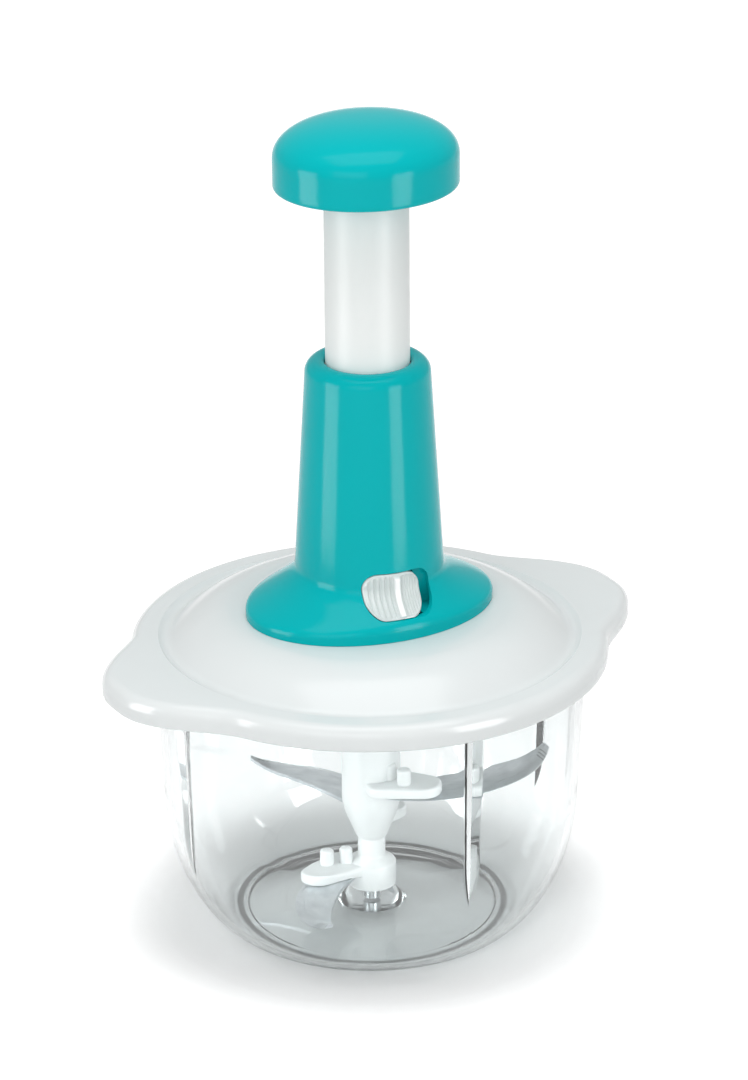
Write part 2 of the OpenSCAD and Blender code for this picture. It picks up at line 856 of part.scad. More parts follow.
module plunger_tube() {
    color("white")
    difference() {
        union() {
            translate([0, 0, tube_low_z])
                cylinder(r = tube_r, h = tube_top_z - tube_low_z);
            translate([0, 0, flange_low_z])
                cylinder(r = flange_r, h = flange_t);
        }
        translate([0, 0, tube_low_z - cut])
            cylinder(r = tube_bore_r, h = tube_top_z - tube_cap_t - tube_low_z + cut);
        translate([0, 0, tube_top_z - tube_cap_t - cut])
            cylinder(r = screw_d / 2 + fixed_gap, h = tube_cap_t + 2 * cut);
        rotate(lock_turn) {
            for (turn = [0, 180])
                rotate(turn)
                    translate([key_r - key_gap, -key_w / 2 - key_gap, flange_low_z - cut])
                        cube([4, key_w + 2 * key_gap, flange_t + 2 * cut]);
            translate([tooth_x - tooth_w / 2 - tooth_gap, -flange_r - cut, flange_low_z - cut])
                cube([tooth_w + 2 * tooth_gap, flange_r + cut - tooth_reach + tooth_gap,
                    flange_t + 2 * cut]);
        }
    }
}

// Angle of the strip's cross-section at height z
function strip_angle(z) = -360 * (z - strip_twist_z) / strip_lead;

module drive_nut() {
    slot_h = nut_t + 2 * cut;
    color("ivory")
    difference() {
        translate([0, 0, nut_z])
            cylinder(r = tube_bore_r - fixed_gap, h = nut_t);
        translate([0, 0, nut_z - cut])
            rotate(strip_angle(nut_z - cut))
                linear_extrude(slot_h, twist = 360 * slot_h / strip_lead,
                        slices = ceil(slot_h / strip_slice), segments = strip_segments)
                    square([strip_w + 2 * strip_gap, strip_t + 2 * strip_gap], center = true);
    }
}

// ---- lock ----

module lock_button() {
    ridge_w = 1;
    ridge_step = 2.1;
    inner_y = plate_in_y + plate_t + fixed_gap;
    color("white")
    rotate(lock_turn)
        difference() {
            intersection() {
                rotate(-lock_turn)
                    tower_solid(button_stand);
                front_bar(button_x, button_w, button_h, lock_corner, inner_y, foot_w);
            }
            for (i = [1:4])
                translate([button_x + i * ridge_step, -foot_w, window_z - button_h / 2 + 2])
                    cube([ridge_w, foot_w - tower_r(window_z, 90) + 0.5, button_h - 4]);
            translate([button_x - 3, -inner_y, window_z])
                rotate([90, 0, 0])
                    translate([0, 0, -cut])
                        cylinder(r = screw_d / 2 + fixed_gap, h = 4 + cut);
        }
}

module lock_plate() {
    color("whitesmoke")
    rotate(lock_turn)
        difference() {
            union() {
                translate([button_x - plate_w / 2, -plate_in_y - plate_t, plate_low_z])
                    cube([plate_w, plate_t, plate_top_z - plate_low_z]);
                translate([tooth_x - tooth_w / 2, -plate_in_y - plate_t, tooth_z])
                    cube([tooth_w, plate_in_y + plate_t - tooth_reach, tooth_t]);
            }
            translate([button_x - 3, -plate_in_y + cut, window_z])
                rotate([90, 0, 0])
                    cylinder(r = screw_d / 2 + fixed_gap, h = plate_t + 2 * cut);
        }
}

// Countersunk screw that holds the button to its plate
module lock_screw() {
    color("silver")
    rotate(lock_turn)
        translate([button_x - 3, -plate_in_y, window_z])
            rotate([90, 0, 0])
                cylinder(r = screw_d / 2, h = plate_t + 3.5);
}

// ---- drive ----

module drive_strip() {
    h = strip_top_z - strip_twist_z;
    color("silver") {
        translate([0, 0, strip_twist_z])
            linear_extrude(h, twist = 360 * h / strip_lead, slices = ceil(h / strip_slice),
                    segments = strip_segments)
                square([strip_w, strip_t], center = true);
        difference() {
            translate([-tang_w / 2, -strip_t / 2, strip_low_z])
                cube([tang_w, strip_t, strip_twist_z - strip_low_z]);
            translate([0, strip_t, strip_pin_z])
                rotate([90, 0, 0])
                    cylinder(r = strip_pin_r + fixed_gap, h = 2 * strip_t);
        }
    }
}

// Ring of clutch dogs from height low to height high, turned by the angle given
module dogs(turn, low, high) {
    for (i = [0:dog_count - 1])
        rotate(turn + 360 * i / dog_count)
            rotate_extrude(angle = dog_angle)
                translate([dog_in_r, low])
                    square([dog_r - dog_in_r, high - low]);
}

module drive_hub() {
    color("gainsboro")
    difference() {
        union() {
            translate([0, 0, hub_low_z])
                cylinder(r = hub_r, h = hub_top_z - hub_low_z);
            translate([0, 0, hub_low_z])
                cylinder(r = hub_flange_r, h = hub_flange_top - hub_low_z);
            dogs(0, hub_low_z - dog_h, hub_low_z + dog_root);
        }
        translate([-tang_w / 2 - fixed_gap, -strip_t / 2 - fixed_gap, strip_low_z - fixed_gap])
            cube([tang_w + 2 * fixed_gap, strip_t + 2 * fixed_gap, strip_top_z]);
        translate([0, hub_d, strip_pin_z])
            rotate([90, 0, 0])
                cylinder(r = strip_pin_r + fixed_gap, h = 2 * hub_d);
        translate([0, 0, dome_z + bush_flange_t + 0.1 - fixed_gap])
            difference() {
                cylinder(r = hub_d, h = clip_t + 2 * fixed_gap);
                cylinder(r = hub_r - clip_groove, h = clip_t + 2 * fixed_gap);
            }
    }
}

// Open ring in the hub's groove
module hub_clip() {
    color("silver")
    translate([0, 0, dome_z + bush_flange_t + 0.1])
        rotate(35)
            rotate_extrude(angle = 290)
                translate([hub_r - clip_groove + fixed_gap, 0])
                    square([clip_r - hub_r + clip_groove - fixed_gap, clip_t]);
}

// Cross pin that ties the strip's tang to the hub
module strip_pin() {
    color("silver")
    translate([0, hub_r - 0.5, strip_pin_z])
        rotate([90, 0, 0])
            cylinder(r = strip_pin_r, h = hub_d - 1);
}

module drive_coupler() {
    socket_r = (hex_flats / 2 + hex_gap) / cos(30);
    color("gainsboro")
    difference() {
        union() {
            translate([0, 0, coupler_low_z])
                cylinder(r = coupler_r, h = coupler_top_z - coupler_low_z);
            translate([0, 0, coupler_flange_z])
                cylinder(r = coupler_flange_r, h = coupler_top_z - coupler_flange_z);
            dogs(180 / dog_count, coupler_top_z - dog_root, coupler_top_z + dog_h);
        }
        translate([0, 0, coupler_low_z - cut])
            cylinder(r = socket_r, h = hex_top_z + free_gap - coupler_low_z + cut, $fn = 6);
    }
}

// ---- blades ----

// Distance a blade may reach at height z before it meets the bowl's wall
function reach_at(z) = min(blade_reach, bowl_inner_r(z) - wall_room);

// Flat outline of a blade whose tip lies at the distance reach
module blade_shape(reach) {
    way = [cos(tip_turn), sin(tip_turn)];
    tip = reach * way;
    tip_back = tip + [-1.2, tip_w];
    belly = blade_belly * norm(tip - heel) / norm(blade_reach * way - heel);
    polygon(concat(
        arc_points(heel, tip, belly, blade_arc_steps),
        arc_points(tip_back, back, -back_belly, blade_arc_steps),
        [[gusset_at[0], heel[1] + 6], [heel[0] + 2, heel[1] + 3]]));
}

// Places a blade and its lug: the blade tilts up about the front of the shaft
module at_blade(i) {
    rotate(blade_angles[i])
        translate([0, 0, blade_levels[i]])
            rotate([0, -blade_tilt, 0])
                children();
}

module blade(i) {
    color("lightsteelblue")
    at_blade(i)
        difference() {
            linear_extrude(blade_t)
                blade_shape(reach_at(blade_levels[i]));
            translate([post_at[0], post_at[1], -cut])
                cylinder(r = post_r + fixed_gap, h = blade_t + 2 * cut);
            rotate([0, blade_tilt, 0])
                translate([0, 0, -lug_t])
                    cylinder(r = shaft_r_at(blade_levels[i] + lug_t) + fixed_gap, h = 3 * lug_t);
        }
}
module blade_upper() { blade(0); }
module blade_middle() { blade(1); }
module blade_lower() { blade(2); }

// Radius of the blade shaft at height z
function shaft_r_at(z) = z > taper_top ? shaft_r
    : z > taper_low_z ? stem_r + (shaft_r - stem_r)
        * sqrt(1 - pow((taper_top - z) / (taper_top - taper_low_z), 2) * 0.75) * taper_share(z)
    : z > 20 ? stem_r : hub_foot_r;
function taper_share(z) = smooth_step((z - taper_low_z) / (taper_top - taper_low_z) * 0.7 + 0.3);

taper_steps = 8;
shaft_outline = concat(
    [[0, shaft_low_z], [hub_foot_r, shaft_low_z], [hub_foot_r, 18], [stem_r, 20],
     [stem_r, taper_low_z]],
    [for (i = [1:taper_steps])
        let (z = taper_low_z + (taper_top - taper_low_z) * i / taper_steps)
        [shaft_r_at(z), z]],
    [[shaft_r, shaft_top_z], [0, shaft_top_z]]);

// Lug on top of a blade and the part of it that joins the shaft
module blade_lug() {
    translate([0, 0, blade_t + fixed_gap])
        linear_extrude(lug_t)
            hull() {
                translate(lug_near)
                    circle(lug_near_r, $fn = 32);
                translate(lug_far)
                    circle(lug_far_r, $fn = 32);
                circle(stem_r, $fn = 32);
            }
}

module blade_shaft() {
    color("white")
    difference() {
        union() {
            rotate_extrude()
                polygon(shaft_outline);
            translate([0, 0, shaft_top_z - 1])
                cylinder(r = hex_flats / 2 / cos(30), h = hex_top_z - shaft_top_z + 1, $fn = 6);
            for (i = [0:2])
                at_blade(i) {
                    blade_lug();
                    translate([post_at[0], post_at[1], -post_end])
                        cylinder(r = post_r, h = post_end + blade_t + lug_t);
                    translate([gusset_at[0], gusset_at[1], blade_t + lug_t / 2])
                        cylinder(r = gusset_r, h = lug_t / 2 + rivet_h);
                }
        }
        translate([0, 0, shaft_low_z - cut])
            cylinder(r = bush_r + fixed_gap, h = pin_top + 2.5 - shaft_low_z + cut);
    }
}

// Tall round caps on the posts that pin each blade under its lug
module blade_rivets() {
    color("white")
    for (i = [0:2])
        at_blade(i)
            translate([post_at[0], post_at[1], blade_t + lug_t + 2 * fixed_gap])
                cylinder(r = rivet_r, h = rivet_h);
}

module shaft_bush() {
    color("peru")
    translate([0, 0, shaft_low_z])
        difference() {
            cylinder(r = bush_r, h = pin_top + 2.5 - shaft_low_z - fixed_gap);
            translate([0, 0, -cut])
                cylinder(r = pin_d / 2 + running_gap, h = pin_top + cut + 1.4 - shaft_low_z + cut);
        }
}

bowl();
pivot_pin();
lid();
inner_cover();
cover_screws();
tower_housing();
tower_screws();
guide_bush();
hub_bush();
thrust_washer();
spring_seat();
return_spring();
clutch_spring();
detent_spring();
knob_cap();
knob_base();
knob_screw();
plunger_tube();
drive_nut();
lock_button();
lock_plate();
lock_screw();
drive_strip();
drive_hub();
hub_clip();
strip_pin();
drive_coupler();
blade_shaft();
blade_upper();
blade_middle();
blade_lower();
blade_rivets();
shaft_bush();
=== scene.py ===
# %% [markdown]
# # A plunger food chopper, dressed for looks
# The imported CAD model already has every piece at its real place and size.
# This script gives the pieces that show their full shape and finish.
# Each new piece is a surface worked out with numpy, a function of two parameters on a
# grid, because plastic mouldings are turned, lofted or swept forms that such grids fit.

# %% Load the fixed frame
import math

import bpy
import numpy as np
from mathutils import Matrix, Vector


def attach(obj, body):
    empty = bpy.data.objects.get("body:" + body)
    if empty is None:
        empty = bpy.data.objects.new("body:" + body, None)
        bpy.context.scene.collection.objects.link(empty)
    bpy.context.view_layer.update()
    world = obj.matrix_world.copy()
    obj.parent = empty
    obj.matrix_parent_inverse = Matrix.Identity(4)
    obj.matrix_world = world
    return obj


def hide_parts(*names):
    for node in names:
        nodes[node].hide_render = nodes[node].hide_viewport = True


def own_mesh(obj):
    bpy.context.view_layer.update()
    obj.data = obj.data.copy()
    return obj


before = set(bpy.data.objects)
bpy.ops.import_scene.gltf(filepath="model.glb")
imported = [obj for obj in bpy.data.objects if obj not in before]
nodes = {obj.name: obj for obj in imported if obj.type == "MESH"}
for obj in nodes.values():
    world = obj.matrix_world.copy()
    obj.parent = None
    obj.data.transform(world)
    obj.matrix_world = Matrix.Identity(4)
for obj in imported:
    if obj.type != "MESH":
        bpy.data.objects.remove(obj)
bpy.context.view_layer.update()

# %% [markdown]
# ## Colours and nodes
# Colours are written as the hex values a paint program shows. Blender's sockets want
# linear light, so one function turns them. One more function adds a shader node with
# its settings and links, which keeps each material down to a few lines.

# %% Colour and node helpers
MM = 0.001


def linear(code):
    """Hex to linear RGBA: a channel c becomes c / 12.92 up to 0.04045.

    Above that it becomes (c + 0.055) / 1.055 to the power 2.4.
    """
    share = np.array([int(code[i:i + 2], 16) for i in (1, 3, 5)]) / 255
    light = np.where(share <= 0.04045, share / 12.92, ((share + 0.055) / 1.055) ** 2.4)
    return (*(float(v) for v in light), 1.0)


def add_node(tree, kind, values=None, links=None, **settings):
    """Adds a node, sets its plain inputs and its settings, and links its other inputs."""
    node = tree.nodes.new("ShaderNode" + kind)
    for name, value in settings.items():
        setattr(node, name, value)
    for name, value in (values or {}).items():
        node.inputs[name].default_value = value
    for name, (source, output) in (links or {}).items():
        tree.links.new(source.outputs[output], node.inputs[name])
    return node


def new_material(name):
    """An empty node material and its output node."""
    material = bpy.data.materials.new(name)
    material.use_nodes = True
    material.node_tree.nodes.clear()
    return material, material.node_tree, add_node(material.node_tree, "OutputMaterial")


# %% [markdown]
# ## Moulded plastic
# The tower and the knob are ABS, injection moulded in a polished tool and coloured all
# through. Polished ABS has a clear gloss, yet its skin is never quite flat: it carries a
# faint orange peel a few millimetres wide, which softens reflections. The colour is even,
# with a trace of flow marks. So a moulding needs one base colour with a slight drift,
# a low roughness that drifts too, and a very shallow bump. The tube and the running parts
# are acetal and the blade shaft is polypropylene: both are waxier, so they are rougher. In
# a white room reflections pale a colour, so most finishes turn them down.

# %% Moulded plastic
def moulded(name, colour, shade, rough, peel_mm=6.0, peel_depth=0.02, drift_mm=30.0,
            mirror=0.5, painted_highlight_colour=None):
    """Plastic with a drift between two colours, an uneven gloss and an orange-peel bump.

    mirror is how strongly it reflects, 0.5 being plain plastic. If painted_highlight_colour is
    given, the colour is painted to it where the attribute painted_highlight is 1: a painted
    highlight. The bump is peel_depth mm deep.
    """
    material, tree, out = new_material(name)
    place = add_node(tree, "TexCoord")
    drift = add_node(tree, "TexNoise", {"Scale": 1 / (drift_mm * MM), "Detail": 2.0},
                     {"Vector": (place, "Object")})
    peel = add_node(tree, "TexNoise", {"Scale": 1 / (peel_mm * MM), "Detail": 1.0},
                    {"Vector": (place, "Object")})
    tint = add_node(tree, "Mix", {6: linear(colour), 7: linear(shade)},
                    {0: (drift, "Fac")}, data_type="RGBA")
    gloss = add_node(tree, "MapRange", {"To Min": rough * 0.85, "To Max": rough * 1.15},
                     {"Value": (peel, "Fac")})
    bump = add_node(tree, "Bump", {"Strength": 1.0, "Distance": peel_depth * MM},
                    {"Height": (peel, "Fac")})
    skin = add_node(tree, "BsdfPrincipled", {"IOR": 1.53, "Specular IOR Level": mirror},
                    {"Roughness": (gloss, "Result"), "Normal": (bump, "Normal")})
    if painted_highlight_colour:
        painted_highlight = add_node(tree, "Attribute", attribute_name="painted_highlight")
        tint = add_node(tree, "Mix", {7: linear(painted_highlight_colour)}, {0: (painted_highlight, "Fac"), 6: (tint, 2)},
                        data_type="RGBA")
    tree.links.new(tint.outputs[2], skin.inputs["Base Color"])
    tree.links.new(skin.outputs["BSDF"], out.inputs["Surface"])
    return material


teal_abs = moulded("moulded_abs_teal", "#00B4B9", "#00B0B5", 0.14, mirror=0.08)
white_abs = moulded("moulded_abs_white", "#E6EAEA", "#E1E5E5", 0.17, mirror=0.3)
tube_pom = moulded("moulded_pom_tube", "#F0F3F2", "#EBEFED", 0.42, mirror=0.25)
shaft_pp = moulded("moulded_pp_blade_shaft", "#E7EAEA", "#E3E6E6", 0.32)
# The button is the lid's white plastic painted a shade darker, as painted shade, and its bar is
# painted #FAFCFC as a painted highlight.
button_abs = moulded("moulded_abs_button", "#D6DEDD", "#CFD8D7", 0.3, peel_depth=0.01,
                     mirror=0.3, painted_highlight_colour="#FAFCFC")
slide_pom = moulded("moulded_pom_natural", "#E9E6DA", "#E1DDD0", 0.35)

# %% [markdown]
# ## Clear bowl
# The bowl is moulded in clear SAN, which bends light a little more than acrylic: its IOR is
# 1.57. It is polished, so it is nearly free of haze. Real daylight reaches through it, but a
# path tracer loses most light behind glass, so a shadow ray meets a Transparent shader. The
# plastic swallows a little light on its way. Seen square on, the wall is thin and stays
# clear, but along its edge the way is long, and that draws the bowl's grey outline.

# %% Clear plastic
def clear_plastic(name, colour, rough, ior, tint, loss, haze_mm=25.0):
    """Refracting plastic that lets the lamps' light through and absorbs a little.

    Over d metres a channel fades to exp(-loss (1 - c) d), c being its share in tint.
    """
    material, tree, out = new_material(name)
    place = add_node(tree, "TexCoord")
    haze = add_node(tree, "TexNoise", {"Scale": 1 / (haze_mm * MM), "Detail": 2.0},
                    {"Vector": (place, "Object")})
    gloss = add_node(tree, "MapRange", {"To Min": rough * 0.6, "To Max": rough * 1.4},
                     {"Value": (haze, "Fac")})
    body = add_node(tree, "BsdfPrincipled",
                    {"Base Color": linear(colour), "IOR": ior, "Transmission Weight": 1.0},
                    {"Roughness": (gloss, "Result")})
    gap = add_node(tree, "BsdfTransparent", {"Color": linear(colour)})
    ray = add_node(tree, "LightPath")
    blend = add_node(tree, "MixShader", {}, {0: (ray, "Is Shadow Ray"),
                                              1: (body, "BSDF"), 2: (gap, "BSDF")})
    dim = add_node(tree, "VolumeAbsorption", {"Color": linear(tint), "Density": loss})
    tree.links.new(blend.outputs[0], out.inputs["Surface"])
    tree.links.new(dim.outputs["Volume"], out.inputs["Volume"])
    return material


clear_san = clear_plastic("moulded_san_clear", "#FAFCFC", 0.015, 1.57, "#7F8A8C", 40.0)

# %% [markdown]
# ## Metals of the small parts
# Screws and pins are zinc plated steel, the springs are drawn wire, and the bearing bushes
# are sintered bronze. Their gloss varies on a grain of 0.4 mm, coarser than the real one so
# that it can show. A metal's own colour is its reflection, so Metallic is 1 and the colour
# is the reflectance. The blades get a finish of their own further down.

# %% Metal finishes
def metal(name, colour, rough, grain_mm=0.4, depth=0.004):
    """Bare metal whose gloss and bump, depth mm deep, follow a noise of the grain's size."""
    material, tree, out = new_material(name)
    place = add_node(tree, "TexCoord")
    fine = add_node(tree, "Mapping", {"Scale": [1 / (grain_mm * MM)] * 3},
                    {"Vector": (place, "Object")})
    grain = add_node(tree, "TexNoise", {"Scale": 1.0, "Detail": 3.0},
                     {"Vector": (fine, "Vector")})
    gloss = add_node(tree, "MapRange", {"To Min": rough * 0.6, "To Max": rough * 1.4},
                     {"Value": (grain, "Fac")})
    bump = add_node(tree, "Bump", {"Strength": 1.0, "Distance": depth * MM},
                    {"Height": (grain, "Fac")})
    skin = add_node(tree, "BsdfPrincipled",
                    {"Base Color": linear(colour), "Metallic": 1.0},
                    {"Roughness": (gloss, "Result"), "Normal": (bump, "Normal")})
    tree.links.new(skin.outputs["BSDF"], out.inputs["Surface"])
    return material


zinc_steel = metal("zinc_plated_steel", "#C9CDCF", 0.3)
spring_steel = metal("drawn_spring_steel", "#A9AEB2", 0.25)
bush_bronze = metal("sintered_bronze", "#B08D5A", 0.45)

# %% [markdown]
# ## Turning a grid into a mesh
# Every shape below comes as rows of points. The columns close into a ring. The rows either
# close too, as on a hollow shell, or end in a pole at each end. The rows run so that the
# faces point outwards: up the outside, in over the top and down the inside.

# %% Grid to mesh
def grid_faces(rows, columns, loop, start):
    """Quads between neighbouring rows, and a fan round an added point at each open end."""
    i = np.arange(rows if loop else rows - 1)[:, None]
    j = np.arange(columns)[None, :]
    after = (j + 1) % columns
    above = (i + 1) % rows
    quads = np.stack(np.broadcast_arrays(i * columns + j, i * columns + after,
                                         above * columns + after, above * columns + j), -1)
    faces = (quads.reshape(-1, 4) + start).tolist()
    if loop:
        return faces
    ring = np.arange(columns)
    turn = (ring + 1) % columns
    low = np.stack([np.full(columns, rows * columns), turn, ring], -1)
    top = (rows - 1) * columns
    high = np.stack([np.full(columns, rows * columns + 1), top + ring, top + turn], -1)
    return faces + (low + start).tolist() + (high + start).tolist()


def make_piece(name, shells, sharp=40):
    """One mesh object from shells, each a grid in mm and whether its rows close.

    An edge between faces that turn by more than sharp degrees stays hard.
    """
    points, faces, start = [], [], 0
    for grid, loop in shells:
        rows, columns = grid.shape[:2]
        flat = grid.reshape(-1, 3)
        if not loop:
            flat = np.concatenate([flat, grid[0].mean(0)[None], grid[-1].mean(0)[None]])
        faces += grid_faces(rows, columns, loop, start)
        points.append(flat)
        start += len(flat)
    mesh = bpy.data.meshes.new(name)
    mesh.from_pydata((np.concatenate(points) * MM).tolist(), [], faces)
    mesh.polygons.foreach_set("use_smooth", [True] * len(mesh.polygons))
    mesh.set_sharp_from_angle(angle=math.radians(sharp))
    mesh.update()
    piece = bpy.data.objects.new(name, mesh)
    bpy.context.scene.collection.objects.link(piece)
    print(name, "has", len(faces), "faces")
    return piece


def dress(piece, material, body, slot, *replaced):
    """Gives a piece its finish and its body, and hides any CAD nodes it stands for; slot is not
    used.
    """
    piece.data.materials.clear()
    piece.data.materials.append(material)
    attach(piece, body)
    if replaced:
        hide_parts(*replaced)


# %% [markdown]
# ## Turned forms
# A turned piece is a profile carried round the axis. A moulding has no knife edges, so a
# corner of the profile becomes a small curve: a quadratic curve between two points on the
# corner's sides, pulled towards the corner.

# %% Profiles and turning
def soften(corners, radius, steps=5):
    """Closed profile with each corner p made a curve (1-t)^2 a + 2 t (1-t) p + t^2 b.

    Points a and b lie on the corner's sides, at most radius and 0.45 of a side from p.
    """
    p = np.asarray(corners, float)
    to_last, to_next = np.roll(p, 1, 0) - p, np.roll(p, -1, 0) - p
    last_l = np.linalg.norm(to_last, axis=1, keepdims=True)
    next_l = np.linalg.norm(to_next, axis=1, keepdims=True)
    a = p + to_last / last_l * np.minimum(radius, last_l * 0.45)
    b = p + to_next / next_l * np.minimum(radius, next_l * 0.45)
    t = np.linspace(0, 1, steps)[None, :, None]
    curve = (1 - t) ** 2 * a[:, None] + 2 * t * (1 - t) * p[:, None] + t ** 2 * b[:, None]
    return curve.reshape(-1, 2)


def turned(profile, columns=128):
    """Point (r, z) of the profile goes to (r cos a, r sin a, z) for every angle a."""
    a = np.arange(columns) * 2 * np.pi / columns
    r, z = profile[:, :1], profile[:, 1:]
    return np.stack([r * np.cos(a), r * np.sin(a), np.broadcast_to(z, (len(z), columns))], -1)


def smooth_step(t):
    """0 below 0, 1 above 1, and t^2 (3 - 2 t) between."""
    t = np.clip(t, 0, 1)
    return t * t * (3 - 2 * t)


# %% [markdown]
# ## The lid
# The lid is one white shell: a rounded edge with an ear at each end, a shallow channel,
# a dome and a flat top. Its edge isn't round, so each row is a share of the edge's radius
# plus an offset. The wall is 2.4 mm, and the rows run over the outside and back beneath.

# %% Lid shape
lid_z, lid_r, lid_wall, edge_round = 101.6, 78.7, 2.4, 4.15
ear_more, ear_flat, ear_fade = 15.3, 3, 27
dome_z, dome_drop, dome_flat_r = 111.0, 10.1, 46.0
channel_r, channel_w = 65.5, 4.3


def lid_edge(a):
    """Radius of the lid's edge: lid_r, and up to ear_more over it near the X axis.

    The ear is at its widest for 3 degrees to each side and fades over the next 27.
    """
    turn = np.degrees(a) % 180
    off = np.minimum(turn, 180 - turn)
    return lid_r + ear_more * (1 - smooth_step((off - ear_flat) / ear_fade))


def dome_height(r):
    """Height of the dome: dome_z less dome_drop times share^1.8.

    The share is how far r is on its way from the flat top out to the channel.
    """
    share = np.clip((r - dome_flat_r) / (channel_r - dome_flat_r), 0, None)
    return dome_z - dome_drop * share ** 1.8


# %% Lid surface
def lid_rows():
    """Rows (share, offset, z), over the outside and back beneath.

    A point's radius is share times the edge's radius, plus offset.
    """
    a = np.radians(np.linspace(0, 90, 12))
    edge = np.stack([np.ones(12), -edge_round * (1 - np.cos(a)),
                     lid_z - edge_round * (1 - np.sin(a))], -1)
    s = np.linspace(0, 1, 9)
    channel = np.stack([0 * s, channel_r + channel_w - channel_w * s,
                        lid_z - 0.7 * s - 1.05 * np.sin(np.pi * s)], -1)
    r = np.linspace(channel_r, dome_flat_r, 24)[1:]
    dome = np.stack([0 * r, r, dome_height(r)], -1)
    bore = np.array([[0, 13.0, 111], [0, 12.4, 110.6], [0, 12.4, 108.8]])
    r = r[::-1]
    under = np.stack([0 * r, r, dome_height(r + 1.0) - lid_wall], -1)[:-2]
    inner = np.array([[0, 66.5, 98.7], [1, -3.4, 98.9], [1, -2.4, 97.6], [1, -2.4, 94.0],
                      [1, -2.1, 93.4], [1, -1.4, 93.3], [1, -0.8, 93.3], [1, -0.3, 93.7],
                      [1, -0.05, 94.5]])
    return np.concatenate([edge, channel, dome, bore, under, inner])


def lid_grid(columns=360):
    """Each row's radius at each angle, turned to x and y."""
    a = np.arange(columns) * 2 * np.pi / columns
    rows = lid_rows()
    r = rows[:, :1] * lid_edge(a)[None] + rows[:, 1:2]
    return np.stack([r * np.cos(a), r * np.sin(a), np.broadcast_to(rows[:, 2:], r.shape)], -1)


lid = make_piece("lid_shell", [(lid_grid(), True)])
dress(lid, white_abs, "lid_unit", "white_lid", "lid")

# %% [markdown]
# ## The tower
# The tower tapers to its top and turns in over a rounded shoulder. Below, it flares out in
# an S-shaped curve to an oval foot that ends in an upright edge. Oval rings stacked in
# height give that in one sweep. The lock's window is cut afterwards with a Boolean, because
# its edge crosses the rings.

# %% Tower shape
foot_a, foot_b = 45.0, 36.0
edge_a, edge_b, edge_blend = 42.6, 33.0, 1.6
flare_h, flare_top, neck_end = 16.0, 127.0, 192.6
neck_r, top_r, wall, shoulder = 24.4, 20.5, 2.2, 4.4
lock_turn = math.radians(-6)


def oval_radius(a, half_long, half_wide):
    """Radius of an ellipse at angle a: 1 / hypot(cos a / half_long, sin a / half_wide)."""
    return 1 / np.hypot(np.cos(a) / half_long, np.sin(a) / half_wide)


def tower_radius(z, a):
    """Radius at height z and angle a: a straight taper above the flare's top, a flare below.

    The flare is smooth_step(t^1.1) of the way from the neck to the foot, with t from 0 at
    its top to 1 at its foot. A smooth minimum with the edge's oval turns the thin foot into
    an upright edge: both radii mixed by share, less edge_blend share (1 - share).
    """
    t = np.clip((flare_top - z) / flare_h, 0, 1)
    flare = (oval_radius(a, foot_a, foot_b) - neck_r) * smooth_step(t ** 1.1)
    taper = (neck_r - top_r) * np.clip((z - flare_top) / (neck_end - flare_top), 0, 1)
    r, edge = neck_r + flare - taper, oval_radius(a, edge_a, edge_b)
    share = np.clip(0.5 + 0.5 * (edge - r) / edge_blend, 0, 1)
    return edge + (r - edge) * share - edge_blend * share * (1 - share)


# %% Tower surface
def tower_grid(columns=192):
    """Outer rings from the foot up, over the shoulder and lip, then the inner rings down.

    Cosine steps in height pack the rings where the flare starts and ends.
    """
    a = np.arange(columns) * 2 * np.pi / columns
    flare = flare_top - flare_h * (0.5 + 0.49 * np.cos(np.radians(np.linspace(0, 180, 44))))
    neck = np.linspace(flare_top, neck_end, 9)[1:]
    out_z = np.concatenate([flare, neck])
    out_r = tower_radius(out_z[:, None], a[None])
    edge = np.array([[-0.9, 111.0], [-0.3, 111.0], [-0.05, 111.06]])
    edge_r = out_r[:1] + edge[:, :1]
    turn = np.radians(np.linspace(0, 90, 12))[1:]
    top = np.stack([top_r - shoulder * (1 - np.cos(turn)), neck_end + shoulder * np.sin(turn)], -1)
    lip = np.array([[15.3, 196.98], [14.7, 196.85], [14.25, 196.5], [14.0, 195.9], [14.0, 194.5],
                    [14.2, 194.4], [17.7, 194.4], [17.9, 194.2], [17.9, 185.5]])
    plain = np.concatenate([top, lip])
    in_z = np.linspace(185.4, 112.5, 48)
    in_r = tower_radius(in_z[:, None], a[None]) - wall
    foot = out_r[:1] - wall
    r = np.concatenate([edge_r, out_r, np.repeat(plain[:, :1], columns, 1), in_r, foot])
    z = np.concatenate([edge[:, 1], out_z, plain[:, 1], in_z, [111.0]])
    return np.stack([r * np.cos(a), r * np.sin(a), np.repeat(z[:, None], columns, 1)], -1)


# %% [markdown]
# The window is a rounded rectangle pushed straight through the front of the flare. Its
# outline is a rectangle's corner points with a quarter circle at each. The Boolean is
# applied at once, so that the tower is one plain mesh.

# %% Window cutter
window_z, window_w, window_h, window_corner = 124.4, 23.6, 13.8, 5.3
cut_near, cut_far = 18.0, 47.0


def rounded_outline(width, height, corner, steps=10):
    """Corner centres plus corner times (cos, sin) over each quarter turn, anticlockwise."""
    a = np.radians(np.linspace(0, 90, steps)[None] + np.array([0, 90, 180, 270])[:, None])
    x = np.array([1, -1, -1, 1])[:, None] * (width / 2 - corner) + corner * np.cos(a)
    z = np.array([1, 1, -1, -1])[:, None] * (height / 2 - corner) + corner * np.sin(a)
    return np.stack([x.ravel(), z.ravel()], -1)


def front_bar(outline, near, far):
    """The outline at the depths near and far in front of the axis, turned with the lock."""
    x, z = outline[:, 0], outline[:, 1] + window_z
    grid = np.stack([np.stack([x, np.full(len(x), -y), z], -1) for y in (near, far)])
    return lock_frame(grid)


def lock_frame(grid):
    """Turns points about the axis by the lock's angle."""
    c, s = math.cos(lock_turn), math.sin(lock_turn)
    x, y, z = np.moveaxis(grid, -1, 0)
    return np.stack([x * c - y * s, x * s + y * c, z], -1)


